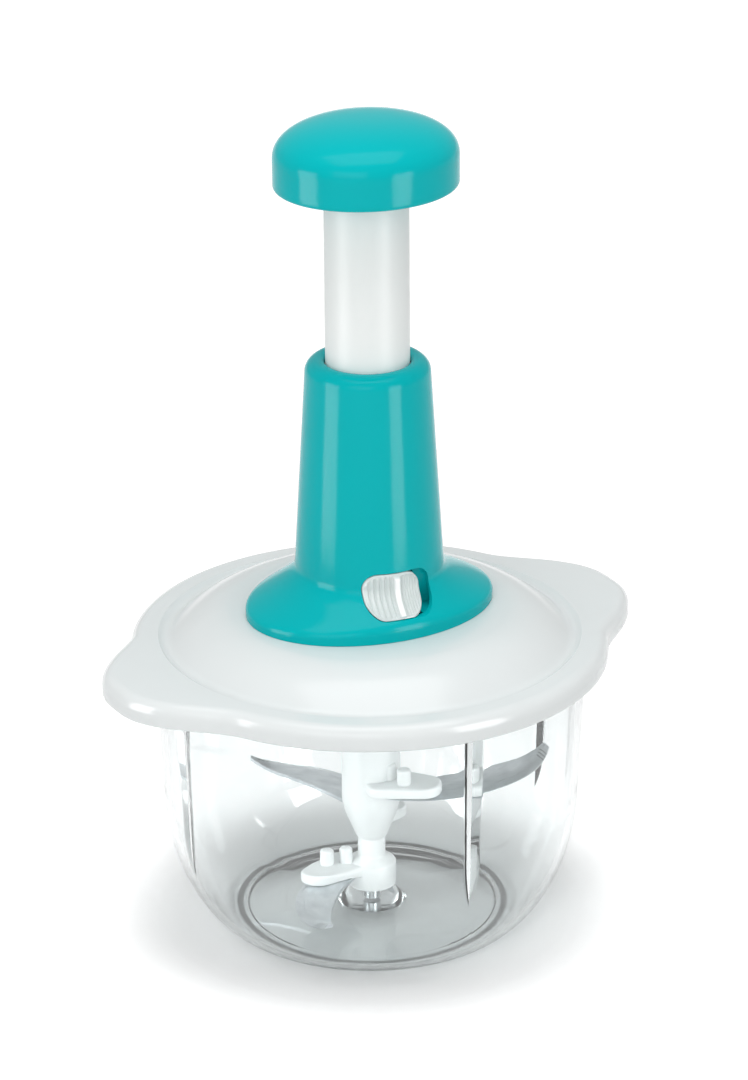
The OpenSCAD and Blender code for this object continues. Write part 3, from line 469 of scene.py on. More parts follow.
# %% Tower with its window
tower = make_piece("tower_shell", [(tower_grid(), True)])
window = rounded_outline(window_w, window_h, window_corner)
cutter = make_piece("window_cutter", [(front_bar(window, cut_near, cut_far), False)])
cut = tower.modifiers.new("window", "BOOLEAN")
cut.object = cutter
cut.solver = "EXACT"
depsgraph = bpy.context.evaluated_depsgraph_get()
shape = bpy.data.meshes.new_from_object(tower.evaluated_get(depsgraph))
tower.modifiers.clear()
tower.data = shape
bpy.data.objects.remove(cutter)
shape.set_sharp_from_angle(angle=math.radians(40))
dress(tower, teal_abs, "lid_unit", "teal_shell", "tower_housing")
print("tower with its window has", len(shape.polygons), "faces")

# %% [markdown]
# Two upright rails stand inside the tower, one on each side of the lock plate's way, and a
# ledge in front of each closes the window's foot. The free end of the window shows one. A
# rail is a bar whose outer side ends in the middle of the tower's wall, so its four corners
# are worked out again at each height.

# %% Slide rails
rail_low, rail_high, rail_turn = 117.5, 135.3, 0.62
rail_in, rail_out, rail_near, rail_far = 7, 14.5, 18.0, 19.3


def rail_grid(side, rows=14):
    """Rings (x, y) between the depths rail_near and rail_far.

    x goes from rail_in out to sqrt(R^2 - y^2), at most rail_out, R the wall's middle.
    """
    z = np.linspace(rail_low, rail_high, rows)[:, None]
    middle = tower_radius(z, math.radians(-90) + lock_turn + side * rail_turn) - wall / 2
    near, far = -rail_near + 0 * z, -rail_far + 0 * z
    out_far = np.minimum(np.sqrt(middle ** 2 - far ** 2), rail_out)
    out_near = np.minimum(np.sqrt(middle ** 2 - near ** 2), rail_out)
    x = side * np.concatenate([rail_in + 0 * z, out_far, out_near, rail_in + 0 * z], 1)
    grid = np.stack([x, np.concatenate([far, far, near, near], 1), np.repeat(z, 4, 1)], -1)
    return lock_frame(grid if side > 0 else grid[:, ::-1])


def ledge_grid(side):
    """A box under the end of the window, from the rail out to the flare's wall."""
    corners = np.array([[7.2, -29.4], [13.4, -28.4], [13.4, -18.2], [7.2, -18.2]]) * [side, 1]
    grid = np.stack([np.column_stack([corners, np.full(4, z)]) for z in (115.6, 117.0, 117.4)])
    return lock_frame(grid if side > 0 else grid[:, ::-1])


rails = make_piece("slide_rails_moulded", [(grid(side), False) for side in (1, -1)
                                           for grid in (rail_grid, ledge_grid)])
dress(rails, teal_abs, "lid_unit", "teal_shell")

# %% [markdown]
# ## The lock button
# The button slides in the window. Its face follows the flare, stands a little proud, and
# carries upright ribs for the thumb, one thick bar in the middle and a shallow dish with
# finer ribs at the right. It is a height field on columns at even steps across. The bar gets
# a painted highlight, paler than the rest, so an attribute tells the finish where it is. The rest
# of the face is painted a shade darker than the lid's white, as painted shade.

# %% Button relief
button_x, button_w, button_h, button_corner = -2.0, 19.0, 13.2, 5.0
button_proud, button_back, rim_round = 0.6, 19.55, 0.6
rib_pitch, rib_high, rib_end = 1.75, 0.42, -2.4
bar_x, bar_half, bar_high = -0.9, 1.15, 1.3
dish_from, dish_deep, fine_pitch, fine_high = 0.5, 0.45, 0.95, 0.12


def flare_depth(x, z, proud):
    """Depth y of the flare in front of the axis at (x, z), proud mm further out.

    The radius depends on the angle and so on y: a few rounds of y = sqrt(r^2 - x^2).
    """
    y = np.full(np.broadcast(x, z).shape, 26.0)
    for _ in range(12):
        a = np.arctan2(-y, x) + lock_turn
        y = np.sqrt(np.maximum((tower_radius(z, a) + proud) ** 2 - x ** 2, 1))
    return y


def button_relief(x, gap):
    """Ribs, bar and dish as heights in mm over the face, and the bar's share, where the finish
    paints a highlight.

    Ribs are cosines across, bar and dish smooth steps. All fade at the rim, gap mm away.
    """
    ribs = rib_high * np.cos(2 * np.pi * x / rib_pitch) * smooth_step((rib_end - x) / 0.5)
    bar = bar_high * smooth_step((bar_half - np.abs(x - bar_x)) / 0.4)
    right = smooth_step((x - dish_from) / 0.8)
    fine = fine_high * np.cos(2 * np.pi * x / fine_pitch)
    fade = smooth_step((gap - 0.5) / 0.7)
    return (ribs + bar + right * (fine - dish_deep)) * fade, bar / bar_high * fade


# %% Button surface
def button_grid(columns=180, steps=48):
    """For each x a loop that runs down the face and up the flat back, and the bar's share, where
    the finish paints a highlight.
    """
    x = np.linspace(-button_w / 2, button_w / 2, columns)
    over = np.clip(np.abs(x) - (button_w / 2 - button_corner), 0, button_corner)
    half = button_h / 2 - button_corner + np.sqrt(np.maximum(button_corner ** 2 - over ** 2, 0))
    v = np.linspace(1, -1, steps)
    z = half[:, None] * v[None]
    gap = np.minimum(half[:, None] * (1 - np.abs(v))[None],
                     (button_w / 2 - np.abs(x))[:, None] + 0 * z)
    across = (x + button_x)[:, None]
    round_off = rim_round * (1 - smooth_step(gap / 0.9)) ** 2
    relief, painted_highlight = button_relief(across, gap)
    face = flare_depth(across, z + window_z, button_proud) - round_off + relief
    y = np.concatenate([face, np.full_like(face, button_back)], 1)
    z = np.concatenate([z, z[:, ::-1]], 1) + window_z
    grid = lock_frame(np.stack([np.broadcast_to(across, y.shape), -y, z], -1))
    return grid, np.concatenate([painted_highlight, 0 * painted_highlight], 1)


button_points, button_painted_highlight = button_grid()
button = make_piece("lock_button_ribbed", [(button_points, False)])
# The attribute marks the bar, where the finish paints a highlight.
layer = button.data.attributes.new("painted_highlight", "FLOAT", "POINT")
layer.data.foreach_set("value", np.concatenate([button_painted_highlight.ravel(), [0, 0]]))
dress(button, button_abs, "lock_slider", "white_lid", "lock_button")

# %% [markdown]
# ## Plunger tube and knob
# The tube is a plain turned sleeve with a flange at its foot. The knob is an oval dome: its
# side climbs straight from a rounded edge, and its top is a superellipse, fuller than a
# circle, so that the palm meets a broad surface.

# %% Tube
tube = soften([[11.9, 173], [13.7, 173], [13.7, 182.1], [17.6, 182.1], [17.6, 185.1],
               [13.7, 185.1], [13.7, 266], [1.4, 266], [1.4, 263], [11.9, 263]], 0.4)
tube_piece = make_piece("tube_sleeve", [(turned(tube), True)])
dress(tube_piece, tube_pom, "plunger", "white_tube", "plunger_tube")


# %% Knob
knob_long, knob_wide, knob_power = 30.4, 28.0, 2.3
knob_shoulder, knob_dome, knob_wall = 265, 13, 2.2


def knob_grid(columns=160):
    """Oval rings down inside the hollow, round the lower edge, up the side and over the dome.

    A row is (share, offset, z): a radius is share times the oval's radius, plus offset.
    The dome is a superellipse: share = cos(t)^(2/2.3), height knob_dome sin(t)^(2/2.3).
    """
    a = np.arange(columns) * 2 * np.pi / columns
    oval = oval_radius(a, knob_long, knob_wide)
    turn = np.radians(np.linspace(0, 89.5, 40))
    share = np.cos(turn) ** (2 / knob_power)
    rise = np.sin(turn) ** (2 / knob_power)
    edge = np.array([[1, -2.0, 255.6], [1, -1.4, 255.5], [1, -0.8, 255.62], [1, -0.3, 256.0],
                     [1, -0.06, 256.5]])
    side = np.stack([np.ones(5), np.zeros(5), np.linspace(257, 264.5, 5)], -1)
    dome = np.stack([share, 0 * share, knob_shoulder + knob_dome * rise], -1)
    share, rise = share[::-1], rise[::-1]
    inner = np.stack([share, -knob_wall * np.maximum(share, 0.1),
                      knob_shoulder + (knob_dome - knob_wall) * rise], -1)
    rows = np.concatenate([inner, [[1, -knob_wall, 260], [1, -knob_wall, 256.2]],
                           edge, side, dome])
    r = rows[:, :1] * oval + rows[:, 1:2]
    return np.stack([r * np.cos(a), r * np.sin(a), np.repeat(rows[:, 2:], columns, 1)], -1)


knob = make_piece("knob_shell", [(knob_grid(), False)])
dress(knob, teal_abs, "plunger", "teal_shell", "knob_cap")

# %% [markdown]
# ## The bowl
# The bowl bulges fast from a small base, then climbs almost straight. Four V ribs stand on
# the inside and stir the food back to the blades. The ribs push the inner wall inwards, so
# the columns are packed closely across each rib to keep its edge crisp.

# %% Bowl profile
base_r, belly_r, belly_z, bowl_wall = 47, 69.2, 46, 2.4
draft_r, draft_h = 2.3, 51


def bowl_radius(z):
    """Outer radius: a superellipse from base_r up to belly_r at belly_z, a straight draft above.

    With u = 1 - z / belly_z, the superellipse is the share (1 - u^1.9)^(1/1.5) of the way.
    """
    u = (belly_z - np.minimum(z, belly_z)) / belly_z
    low = base_r + (belly_r - base_r) * (1 - u ** 1.9) ** (1 / 1.5)
    return np.where(z < belly_z, low, belly_r + draft_r * (z - belly_z) / draft_h)


def inner_wall(z, step=0.4):
    """Points bowl_wall inside the outer wall, square to it: the slope is taken over step."""
    dr = bowl_radius(z + step) - bowl_radius(z)
    slant = np.hypot(dr, step)
    return np.stack([bowl_radius(z) - bowl_wall * step / slant,
                     z + bowl_wall * dr / slant], -1)


# %% Bowl surface
v_low, v_high, v_apex = 22, 91.3, 64.3


def bowl_angles():
    """Even steps round the bowl, with extra ones across each rib."""
    even = np.arange(0, 360, 2.5)
    right = np.array([0.1, 0.4, 0.8, 1.2, 1.6, 2.0, 2.4, 2.75, 3.1])
    offs = np.concatenate([-right[::-1], right])
    packed = (np.arange(4)[:, None] * 90 + offs[None]).ravel() % 360
    return np.radians(np.unique(np.concatenate([even, packed])))


def bowl_grid():
    """Outer rows from the centre of the base up to the rim, then inner rows down to the boss.

    Across a rib the inner radius is at most the apex's plus the arc from the rib's middle
    divided by 1.375, which makes a V.
    """
    a = bowl_angles()
    z = belly_z * np.linspace(0, 1, 56)[1:] ** 1.8
    z = np.concatenate([z, np.linspace(belly_z, 96.2, 12)[1:]])
    base = np.array([[0.5, 1.2], [20, 1.2], [41.2, 1.2], [41.9, 1.0], [42.3, 0.3], [42.9, 0.02],
                     [44.0, 0], [46.2, 0], [46.8, 0.03]])
    outer = np.concatenate([base, np.stack([bowl_radius(z), z], -1),
                            [[71.4, 96.75], [71.0, 97.0], [69.7, 97.0], [69.25, 96.75]]])
    wall_z = np.concatenate([np.linspace(96.0, 89.0, 15), np.linspace(88.5, belly_z, 20),
                             belly_z * np.linspace(1, 0, 60)[1:] ** 1.8])
    inner = inner_wall(wall_z)
    inner = inner[inner[:, 1] > 3.6]
    floor = np.array([[inner[-1, 0] - 1.0, 3.3], [inner[-1, 0] - 2.4, 3.2], [30, 3.2], [12.6, 3.2],
                      [11.6, 3.35], [9.3, 5.2], [8.8, 5.7], [6.5, 8.3], [5.8, 8.6], [2.2, 8.6]])
    r = np.concatenate([outer[:, 0], inner[:, 0], floor[:, 0]])[:, None] + 0 * a[None]
    height = np.concatenate([outer[:, 1], inner[:, 1], floor[:, 1]])
    off = np.abs((a + np.pi / 4) % (np.pi / 2) - np.pi / 4)
    apex = v_apex + 2.0 * (height - v_low) / 69.2
    tall = (np.arange(len(r)) >= len(outer)) & (height > v_low) & (height <= v_high)
    ribbed = np.minimum(r, apex[:, None] + off[None] * apex[:, None] / 1.375)
    r = np.where(tall[:, None], ribbed, r)
    return np.stack([r * np.cos(a), r * np.sin(a), np.repeat(height[:, None], len(a), 1)], -1)


bowl = make_piece("bowl_clear", [(bowl_grid(), False)], sharp=30)
dress(bowl, clear_san, "bowl_unit", "clear_bowl", "bowl")

# %% [markdown]
# ## Blade shaft
# The shaft is a turned body that narrows below the upper blade. At each of three levels a
# lug stands out in front, 120 degrees apart, and carries a post with a tall round cap.
# A lug's outline is the hull of three circles: for each direction of the outward normal
# the point furthest that way lies on one of them.

# %% Placing at a blade's level
blade_levels, blade_turns = (46.0, 30.0, 13.0), (0.0, 120.0, 240.0)
tilt = math.radians(3)
thin_r, swell_r, swell_z, swell_h = 4.6, 5.2, 27, 15


def shaft_radius(z):
    """thin_r below swell_z, swell_r more above the swell, and a curve between.

    With s the share of the swell's height, the curve is swell_r sqrt(1 - 0.75 (1 - s)^2)
    times smooth_step(0.7 s + 0.3), on top of thin_r.
    """
    s = np.clip((z - swell_z) / swell_h, 0, 1)
    swell = np.sqrt(np.clip(1 - (1 - s) ** 2 * 0.75, 0, 1)) * smooth_step(s * 0.7 + 0.3)
    return np.where(s > 0, thin_r + swell_r * swell, thin_r)


def blade_place(grid, i):
    """Tilts points up about Y, lifts them to blade i's level and turns them to its angle."""
    x, y, z = np.moveaxis(grid, -1, 0)
    x, z = x * math.cos(tilt) - z * math.sin(tilt), x * math.sin(tilt) + z * math.cos(tilt)
    a = math.radians(blade_turns[i])
    return np.stack([x * math.cos(a) - y * math.sin(a), x * math.sin(a) + y * math.cos(a),
                     z + blade_levels[i]], -1)


def hull_stack(circles, rows, columns=96):
    """Rings round the hull of circles (x, y, radius), one for each row (inset, z).

    A point is the centre of the circle that reaches furthest its way, plus the radius
    less the inset in that direction.
    """
    a = np.arange(columns) * 2 * np.pi / columns
    way = np.stack([np.cos(a), np.sin(a)], -1)
    circles = np.asarray(circles, float)
    far = circles[:, :2] @ way.T + circles[:, 2:]
    pick = circles[np.argmax(far, 0)]
    rows = np.asarray(rows, float)
    flat = pick[None, :, :2] + (pick[None, :, 2:] - rows[:, None, :1]) * way[None]
    return np.concatenate([flat, np.repeat(rows[:, None, 1:], columns, 1)], -1)


# %% Shaft with lugs and gussets
lug_circles, lug_rows = [[-2, -10.5, 4.5], [10.5, -17.5, 6], [0, 0, 4.6]], [
    [5, 1.25], [0.5, 1.25], [0.15, 1.4], [0, 1.75], [0, 3.9], [0.12, 4.35], [0.45, 4.7],
    [0.9, 4.85], [1.6, 4.85], [5, 4.85]]
gusset_circle, gusset_rows = [[2.8, -8.6, 2.2]], [
    [1.5, 3.0], [0.2, 3.0], [0, 4.85], [0, 9.6], [0.15, 10.0], [0.5, 10.25], [1.8, 10.35]]
shaft_z = np.linspace(swell_z, swell_z + swell_h, 16)
shaft_foot = [[2.4, 8.95], [7.7, 8.9], [8.1, 9.1], [8.2, 9.6], [8.2, 17.4], [7.9, 18.0],
              [4.9, 19.8], [4.6, 20.4]]
shaft_head = [[9.8, 44], [9.8, 84.6], [9.5, 85.2], [8.9, 85.4], [5.0, 85.4], [5.0, 95.5],
              [4.6, 96.0], [0.4, 96.0]]
shaft_profile = np.concatenate([
    shaft_foot, np.stack([shaft_radius(shaft_z), shaft_z], -1), shaft_head])
shaft_shells = [(turned(shaft_profile, 96), False)]
shaft_shells += [(blade_place(hull_stack(lug_circles, lug_rows), i), False) for i in range(3)]
shaft_shells += [(blade_place(hull_stack(gusset_circle, gusset_rows, 32), i), False)
                 for i in range(3)]
shaft = make_piece("blade_shaft_moulded", shaft_shells)
dress(shaft, shaft_pp, "blade_set", "white_shaft", "blade_shaft")

# %% Post caps
cap_circle, cap_rows = [[4.7, -14.9, 2.35]], [
    [2.2, 4.85], [0.0, 4.85], [0, 9.3], [0.12, 9.8], [0.45, 10.15], [0.95, 10.35], [2.2, 10.35]]
cap_stack = hull_stack(cap_circle, cap_rows, 48)
caps = make_piece("post_caps", [(blade_place(cap_stack, i), False) for i in range(3)])
dress(caps, shaft_pp, "blade_set", "white_shaft", "blade_rivets")

# %% [markdown]
# ## Blades
# Each blade is a sickle: the front edge is one long arc that is ground to an edge, and the
# back is a flatter arc. The mesh runs along the blade with one loop of points round each
# section. Its section has a bevel at most 4 mm wide on top, and the last 14 mm bend up. A
# named attribute keeps the distances along and across, so the grinding lines can follow
# the curve.

# %% Arcs and even steps
def arc(p, q, sag, steps):
    """Points of the circular arc from p to q that bulges sag to the right of the way.

    With h half the chord, its radius is (h^2 + sag^2) / (2 sag). A point is the centre
    plus the radius times (right cos t + along sin t).
    """
    p, q = np.asarray(p, float), np.asarray(q, float)
    half = np.linalg.norm(q - p) / 2
    radius = (half * half + sag * sag) / (2 * sag)
    along = (q - p) / (2 * half)
    right = np.array([along[1], -along[0]])
    centre = (p + q) / 2 - right * (radius - sag)
    opened = math.asin(half / radius)
    t = np.linspace(-opened, opened, steps)[:, None]
    return centre + radius * (right * np.cos(t) + along * np.sin(t))


def along_line(line, count):
    """Points at even shares of a line's length."""
    steps = np.concatenate([[0], np.cumsum(np.linalg.norm(np.diff(line, axis=0), axis=1))])
    share = np.linspace(0, steps[-1], count)
    return np.stack([np.interp(share, steps, line[:, k]) for k in (0, 1)], -1), share


# %% Blade surface
blade_thick, bevel_w, edge_thick = 1.2, 4.0, 0.2
full_reach, full_belly, back_sag = 63.4, 15, -2
tip_turn, tip_bend, bend_length = math.radians(-15), 2.6, 14.0


def blade_grid(reach, count=120):
    """Sections from the root to the tip, each a loop round the sheet, and their facts.

    A point is the front arc's plus its distance across towards the back arc's. The tip
    bends up by tip_bend (1 - d / bend_length)^2 at d mm from the tip. The facts are the
    distance from the tip, the distance across and the width.
    """
    way = np.array([math.cos(tip_turn), math.sin(tip_turn)])
    heel, tip = np.array([-4.5, -9.5]), reach * way
    belly = full_belly * np.linalg.norm(tip - heel) / np.linalg.norm(full_reach * way - heel)
    front, run = along_line(arc(heel, tip, belly, 80), count)
    end = tip + np.array([-1.2, 2.6])
    rear = np.concatenate([[[-2.5, -6.5], [2.8, -3.5]], arc(end, [16, -9], back_sag, 40)[::-1]])
    rear, _ = along_line(rear, count)
    wide = np.linalg.norm(rear - front, axis=1)[:, None]
    side = (rear - front) / wide
    across = np.concatenate([np.zeros((count, 2)), np.full((count, 1), 0.15),
                             np.minimum(wide * 0.45, bevel_w), wide * 0.75, wide - 0.15,
                             wide, wide], 1)
    height = np.array([0, edge_thick, 0.28] + [blade_thick] * 3 + [blade_thick - 0.15, 0])
    flat = front[:, None] + side[:, None] * across[:, :, None]
    from_tip = run[-1] - run[:, None]
    bend = tip_bend * np.clip(1 - from_tip / bend_length, 0, 1) ** 2
    grid = np.concatenate([flat, (height + bend)[:, :, None]], -1)
    facts = np.stack([np.broadcast_to(from_tip, across.shape), across,
                      np.broadcast_to(wide, across.shape)], -1)
    return grid, facts


def make_blade(name, node, i, reach):
    """A blade at its level, whose attribute grind holds the facts of each point in mm."""
    grid, facts = blade_grid(reach)
    piece = make_piece(name, [(blade_place(grid, i), False)], sharp=20)
    ends = np.stack([facts[0].mean(0), facts[-1].mean(0)])
    layer = piece.data.attributes.new("grind", "FLOAT_VECTOR", "POINT")
    layer.data.foreach_set("vector", np.concatenate([facts.reshape(-1, 3), ends]).ravel())
    dress(piece, blade_steel, "blade_set", "blade_steel", node)


# %% [markdown]
# The blades are stainless sheet, stamped and ground. Grinding leaves fine lines that follow
# the edge and stretch each reflection. They are drawn coarser than the real ones, so that
# they show. Three short notches are pressed across the edge close to the tip, and their hollows
# get painted shade: they are painted darker. Both are drawn from the attribute, so they bend with
# the blade. The scales are per mm: lines 17 mm long and 0.4 mm apart, clouds of 8 by 4 mm.

# %% Ground stainless steel
line_scale, cloud_scale = (0.06, 2.6, 0.0), (0.12, 0.25, 0.0)
notch_pitch, notch_from, notch_long, notch_level = 1.5, 3.0, 3.2, 0.45
notch_half = 1.5 * notch_pitch


def ground_steel(name):
    """Stainless sheet with lines from stretched noise, and three notches near the tip, dented and
    painted darker as painted shade.

    A notch is where sin(2 pi x / notch_pitch) is over notch_level, x mm from the tip.
    """
    material, tree, out = new_material(name)
    where = add_node(tree, "Attribute", attribute_name="grind")
    stretch = add_node(tree, "Mapping", {"Scale": line_scale}, {"Vector": (where, "Vector")})
    lines = add_node(tree, "TexNoise", {"Scale": 1.0, "Detail": 3.0},
                     {"Vector": (stretch, "Vector")})
    cloud = add_node(tree, "Mapping", {"Scale": cloud_scale}, {"Vector": (where, "Vector")})
    mottle = add_node(tree, "TexNoise", {"Scale": 1.0, "Detail": 3.0},
                      {"Vector": (cloud, "Vector")})
    tint = add_node(tree, "Mix", {6: linear("#A3ABB0"), 7: linear("#E6EAEC")},
                    {0: (mottle, "Fac")}, data_type="RGBA")
    gloss = add_node(tree, "MapRange", {"To Min": 0.2, "To Max": 0.42}, {"Value": (lines, "Fac")})
    parts = add_node(tree, "SeparateXYZ", {}, {"Vector": (where, "Vector")})
    wave = add_node(tree, "Math", {1: 2 * math.pi / notch_pitch}, {0: (parts, "X")},
                    operation="MULTIPLY")
    wave = add_node(tree, "Math", {}, {0: (wave, "Value")}, operation="SINE")
    wave = add_node(tree, "Math", {1: notch_level}, {0: (wave, "Value")},
                    operation="GREATER_THAN")
    near = add_node(tree, "Math", {1: notch_from + notch_half, 2: notch_half},
                    {0: (parts, "X")}, operation="COMPARE")
    edge = add_node(tree, "Math", {1: notch_long}, {0: (parts, "Y")}, operation="LESS_THAN")
    notch = add_node(tree, "Math", {}, {0: (wave, "Value"), 1: (near, "Value")},
                     operation="MULTIPLY")
    notch = add_node(tree, "Math", {}, {0: (notch, "Value"), 1: (edge, "Value")},
                     operation="MULTIPLY")
    # The notches are painted darker: painted shade in their hollows.
    tint = add_node(tree, "Mix", {7: linear("#7E868B")},
                    {0: (notch, "Value"), 6: (tint, 2)}, data_type="RGBA")
    height = add_node(tree, "Math", {1: -8.0}, {0: (notch, "Value"), 2: (lines, "Fac")},
                      operation="MULTIPLY_ADD")
    bump = add_node(tree, "Bump", {"Strength": 1.0, "Distance": 0.01 * MM},
                    {"Height": (height, "Value")})
    skin = add_node(tree, "BsdfPrincipled", {"Metallic": 1.0},
                    {"Roughness": (gloss, "Result"), "Normal": (bump, "Normal")})
    tree.links.new(tint.outputs[2], skin.inputs["Base Color"])
    tree.links.new(skin.outputs["BSDF"], out.inputs["Surface"])
    return material


blade_steel = ground_steel("ground_stainless_sheet")

# %% Three blades
wall_gap, wall_slant = 3.8, 1.15


def wall_reach(z):
    """Furthest a blade may reach at height z: wall_gap short of the wall's inside.

    Where it slants, the wall is up to wall_slant times as wide measured level.
    """
    inside = float(bowl_radius(np.array(z))) - bowl_wall * wall_slant
    return min(full_reach, inside - wall_gap)


for i, label in enumerate(("upper", "middle", "lower")):
    make_blade("blade_" + label + "_ground", "blade_" + label, i, wall_reach(blade_levels[i]))
    print("blade reach", label, round(wall_reach(blade_levels[i]), 2), "mm")

# %% [markdown]
# ## Return spring
# The spring is hidden in the tower. It is a helix of eight turns.

# %% Spring shape
coil_r, wire_r, coil_low, coil_high = 14.9, 0.6, 113.65, 181.45


def spring_grid(turns=8, steps=40, sides=10):
    """A wire of radius w on a helix of radius R that climbs evenly with the angle a.

    A point is (r cos a, r sin a, z) with r = R + w cos b and z = the climb + w sin b.
    """
    a = np.linspace(0, turns * 2 * np.pi, turns * steps + 1)[:, None]
    b = np.arange(sides)[None] * 2 * np.pi / sides
    r = coil_r + wire_r * np.cos(b) + 0 * a
    z = coil_low + (coil_high - coil_low) * a / (turns * 2 * np.pi) + wire_r * np.sin(b)
    grid = np.stack([r * np.cos(a), r * np.sin(a), z], -1)
    return grid[:, ::-1]


spring = make_piece("coil_spring", [(spring_grid(), False)])
dress(spring, spring_steel, "lid_unit", "spring_steel", "return_spring")
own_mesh(spring)

# %% [markdown]
# ## The CAD pieces that stay
# Screws, bushes, the small springs, the drive and the covers already have their real shape
# in the CAD model. They keep it and get a finish.

# %% Finishes for the CAD pieces
finish_of = {
    white_abs: ("inner_cover",),
    teal_abs: ("knob_base",),
    slide_pom: ("guide_bush", "drive_nut", "lock_plate", "drive_hub", "drive_coupler"),
    zinc_steel: ("pivot_pin", "cover_screws", "tower_screws", "thrust_washer", "spring_seat",
                 "knob_screw", "lock_screw", "strip_pin", "hub_clip", "drive_strip"),
    spring_steel: ("clutch_spring", "detent_spring"),
    bush_bronze: ("hub_bush", "shaft_bush"),
}
for material, names in finish_of.items():
    for name in names:
        for slot in nodes[name].material_slots:
            slot.material = material
print("finished CAD pieces:", sum(len(names) for names in finish_of.values()))

# %% [markdown]
# ## Floor and light
# A studio photograph on white. One large soft light hangs above and a second stands in
# front. A tall narrow light at each side, close to the object, shows only in reflections and
# draws the upright streaks on the tower and the knob. The floor is a white board with some
# light of its own for the camera: none under the object, which keeps the soft shadow there,
# and further out as much as brings it to the photograph's white. The room is white too, but
# dimmer as a light than as a background.

# %% Floor
def white_floor(own_light):
    """White board with light of its own, for rays from the camera, mirrors or clear plastic.

    own_light pairs a distance from the middle in metres with the strength there.
    """
    material, tree, out = new_material("matt_white_board")
    board = add_node(tree, "BsdfDiffuse", {"Color": linear("#F4F4F4")})
    place = add_node(tree, "TexCoord")
    away = add_node(tree, "VectorMath", {}, {0: (place, "Object")}, operation="LENGTH")
    own = add_node(tree, "ValToRGB", {}, {"Fac": (away, "Value")})
    stops = own.color_ramp.elements
    own.color_ramp.interpolation = "EASE"
    while len(stops) < len(own_light):
        stops.new(0.5)
    for stop, (distance, strength) in zip(stops, own_light):
        stop.position, stop.color = distance, (strength, strength, strength, 1)
    glow = add_node(tree, "Emission", {"Strength": 1.0}, {"Color": (own, "Color")})
    both = add_node(tree, "AddShader", {}, {0: (board, "BSDF"), 1: (glow, "Emission")})
    ray = add_node(tree, "LightPath")
    seen = add_node(tree, "Math", {}, {0: (ray, "Is Camera Ray"), 1: (ray, "Is Glossy Ray")},
                    operation="MAXIMUM")
    seen = add_node(tree, "Math", {}, {0: (seen, "Value"), 1: (ray, "Is Transmission Ray")},
                    operation="MAXIMUM")
    blend = add_node(tree, "MixShader", {}, {0: (seen, "Value"), 1: (board, "BSDF"),
                                              2: (both, "Shader")})
    tree.links.new(blend.outputs[0], out.inputs["Surface"])
    return material


floor_half = 6
corners = [(x * floor_half, y * floor_half, 0) for x, y in ((-1, -1), (1, -1), (1, 1), (-1, 1))]
floor_mesh = bpy.data.meshes.new("floor")
floor_mesh.from_pydata(corners, [], [(0, 1, 2, 3)])
floor = bpy.data.objects.new("floor", floor_mesh)
bpy.context.scene.collection.objects.link(floor)
floor_mesh.materials.append(white_floor(
    ((0.062, 0.0), (0.102, 0.48), (0.14, 0.44), (0.24, 0.24), (0.5, 0.36), (1.0, 0.52))))

# %% Room
room_light, room_seen = 0.6, 1.0
world = bpy.data.worlds.new("white_room")
bpy.context.scene.world = world
world.use_nodes = True
tree = world.node_tree
tree.nodes.clear()
ray = add_node(tree, "LightPath")
room = add_node(tree, "Background", {"Color": (1, 1, 1, 1), "Strength": room_light})
white = add_node(tree, "Background", {"Color": (1, 1, 1, 1), "Strength": room_seen})
seen = add_node(tree, "Math", {}, {0: (ray, "Is Camera Ray"), 1: (ray, "Is Transmission Ray")},
                operation="MAXIMUM")
pick = add_node(tree, "MixShader", {}, {0: (seen, "Value"), 1: (room, "Background"),
                                         2: (white, "Background")})
add_node(tree, "OutputWorld", {}, {"Surface": (pick, "Shader")})

# %% Lights
view_turn, view_lift = math.radians(-28.5), math.radians(22.5)


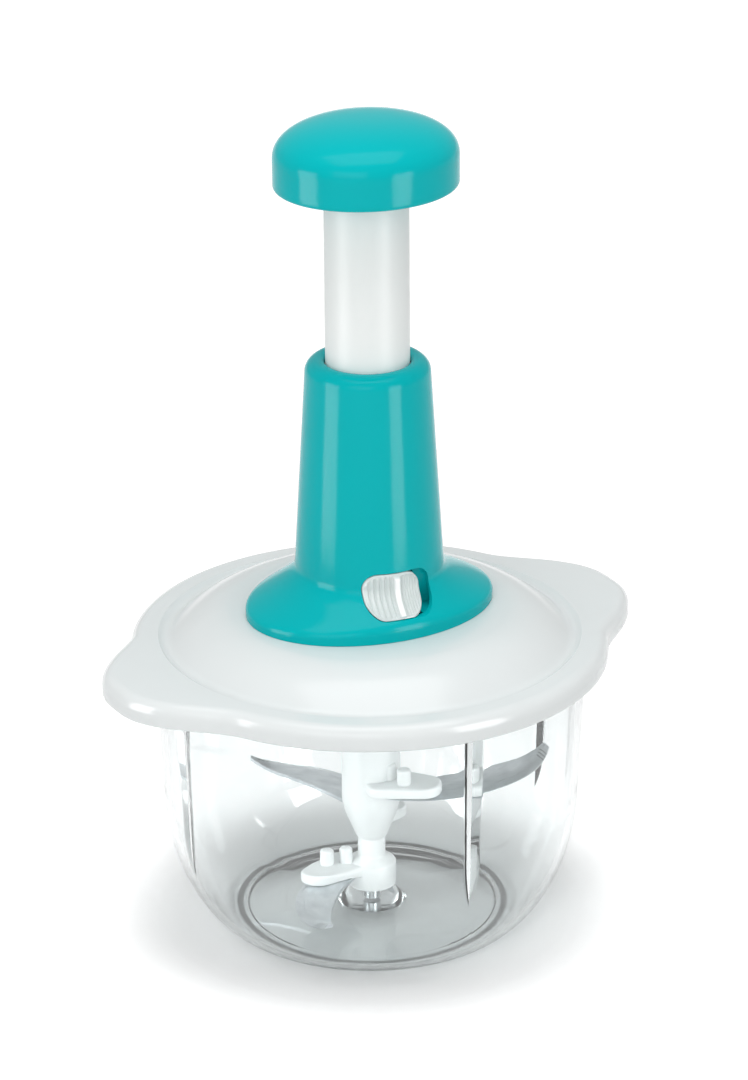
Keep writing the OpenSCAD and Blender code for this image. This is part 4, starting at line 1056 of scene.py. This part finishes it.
def softbox(name, turn, far, height, aim_z, width, tall, glow):
    """Area lamp turn degrees to the right of the camera and far metres from the axis.

    Its surface has the brightness glow, so its power is glow times pi times its area.
    """
    a = view_turn + math.radians(turn)
    lamp = bpy.data.lights.new(name, "AREA")
    lamp.shape, lamp.size, lamp.size_y = "RECTANGLE", width, tall
    lamp.energy = glow * math.pi * width * tall
    light = bpy.data.objects.new(name, lamp)
    place = Vector((math.sin(a) * far, -math.cos(a) * far, height))
    aim = Vector((0, 0, aim_z)) - place
    facing = aim.to_track_quat("-Z", "Y").to_matrix().to_4x4()
    light.matrix_world = Matrix.Translation(place) @ facing
    light.visible_camera = False
    bpy.context.scene.collection.objects.link(light)
    return light


softbox("top_box", 10, far=0.15, height=1.1, aim_z=0.1, width=0.9, tall=0.6, glow=2.6)
softbox("front_box", -12, far=1.6, height=0.75, aim_z=0.14, width=1.2, tall=0.9, glow=2.0)
beside = {"far": 0.42, "height": 0.17, "aim_z": 0.15, "tall": 0.32, "glow": 9.0}
for strip in (softbox("left_strip", -66, width=0.2, **beside),
              softbox("right_strip", 48, width=0.16, **beside)):
    strip.visible_diffuse = False

# %% [markdown]
# ## Camera
# The photograph looks down at 22.5 degrees from the left front, with a long lens. The focal
# length is 4800 px where the frame's long side is 1080 px. The camera leans 0.45 degrees.

# %% Camera
focal_px, frame_px, sensor_mm = 4800, 1080, 36
distance, look_z, look_right = 1.57, 0.1335, 0.0016
back = Vector((math.sin(view_turn) * math.cos(view_lift),
               -math.cos(view_turn) * math.cos(view_lift), math.sin(view_lift)))
right = Vector((math.cos(view_turn), math.sin(view_turn), 0))
up = back.cross(right)
roll = math.radians(0.45)
side_on = right * math.cos(roll) - up * math.sin(roll)
upright = up * math.cos(roll) + right * math.sin(roll)
camera_data = bpy.data.cameras.new("camera")
camera_data.sensor_width = sensor_mm
camera_data.lens = focal_px / frame_px * sensor_mm
camera = bpy.data.objects.new("camera", camera_data)
place = Vector((0, 0, look_z)) + back * distance + right * look_right
facing = Matrix((side_on, upright, back)).transposed().to_4x4()
camera.matrix_world = Matrix.Translation(place) @ facing
bpy.context.scene.collection.objects.link(camera)
bpy.context.scene.camera = camera
bpy.context.scene.view_settings.view_transform = "Standard"
print("lens in mm:", round(camera_data.lens, 1))
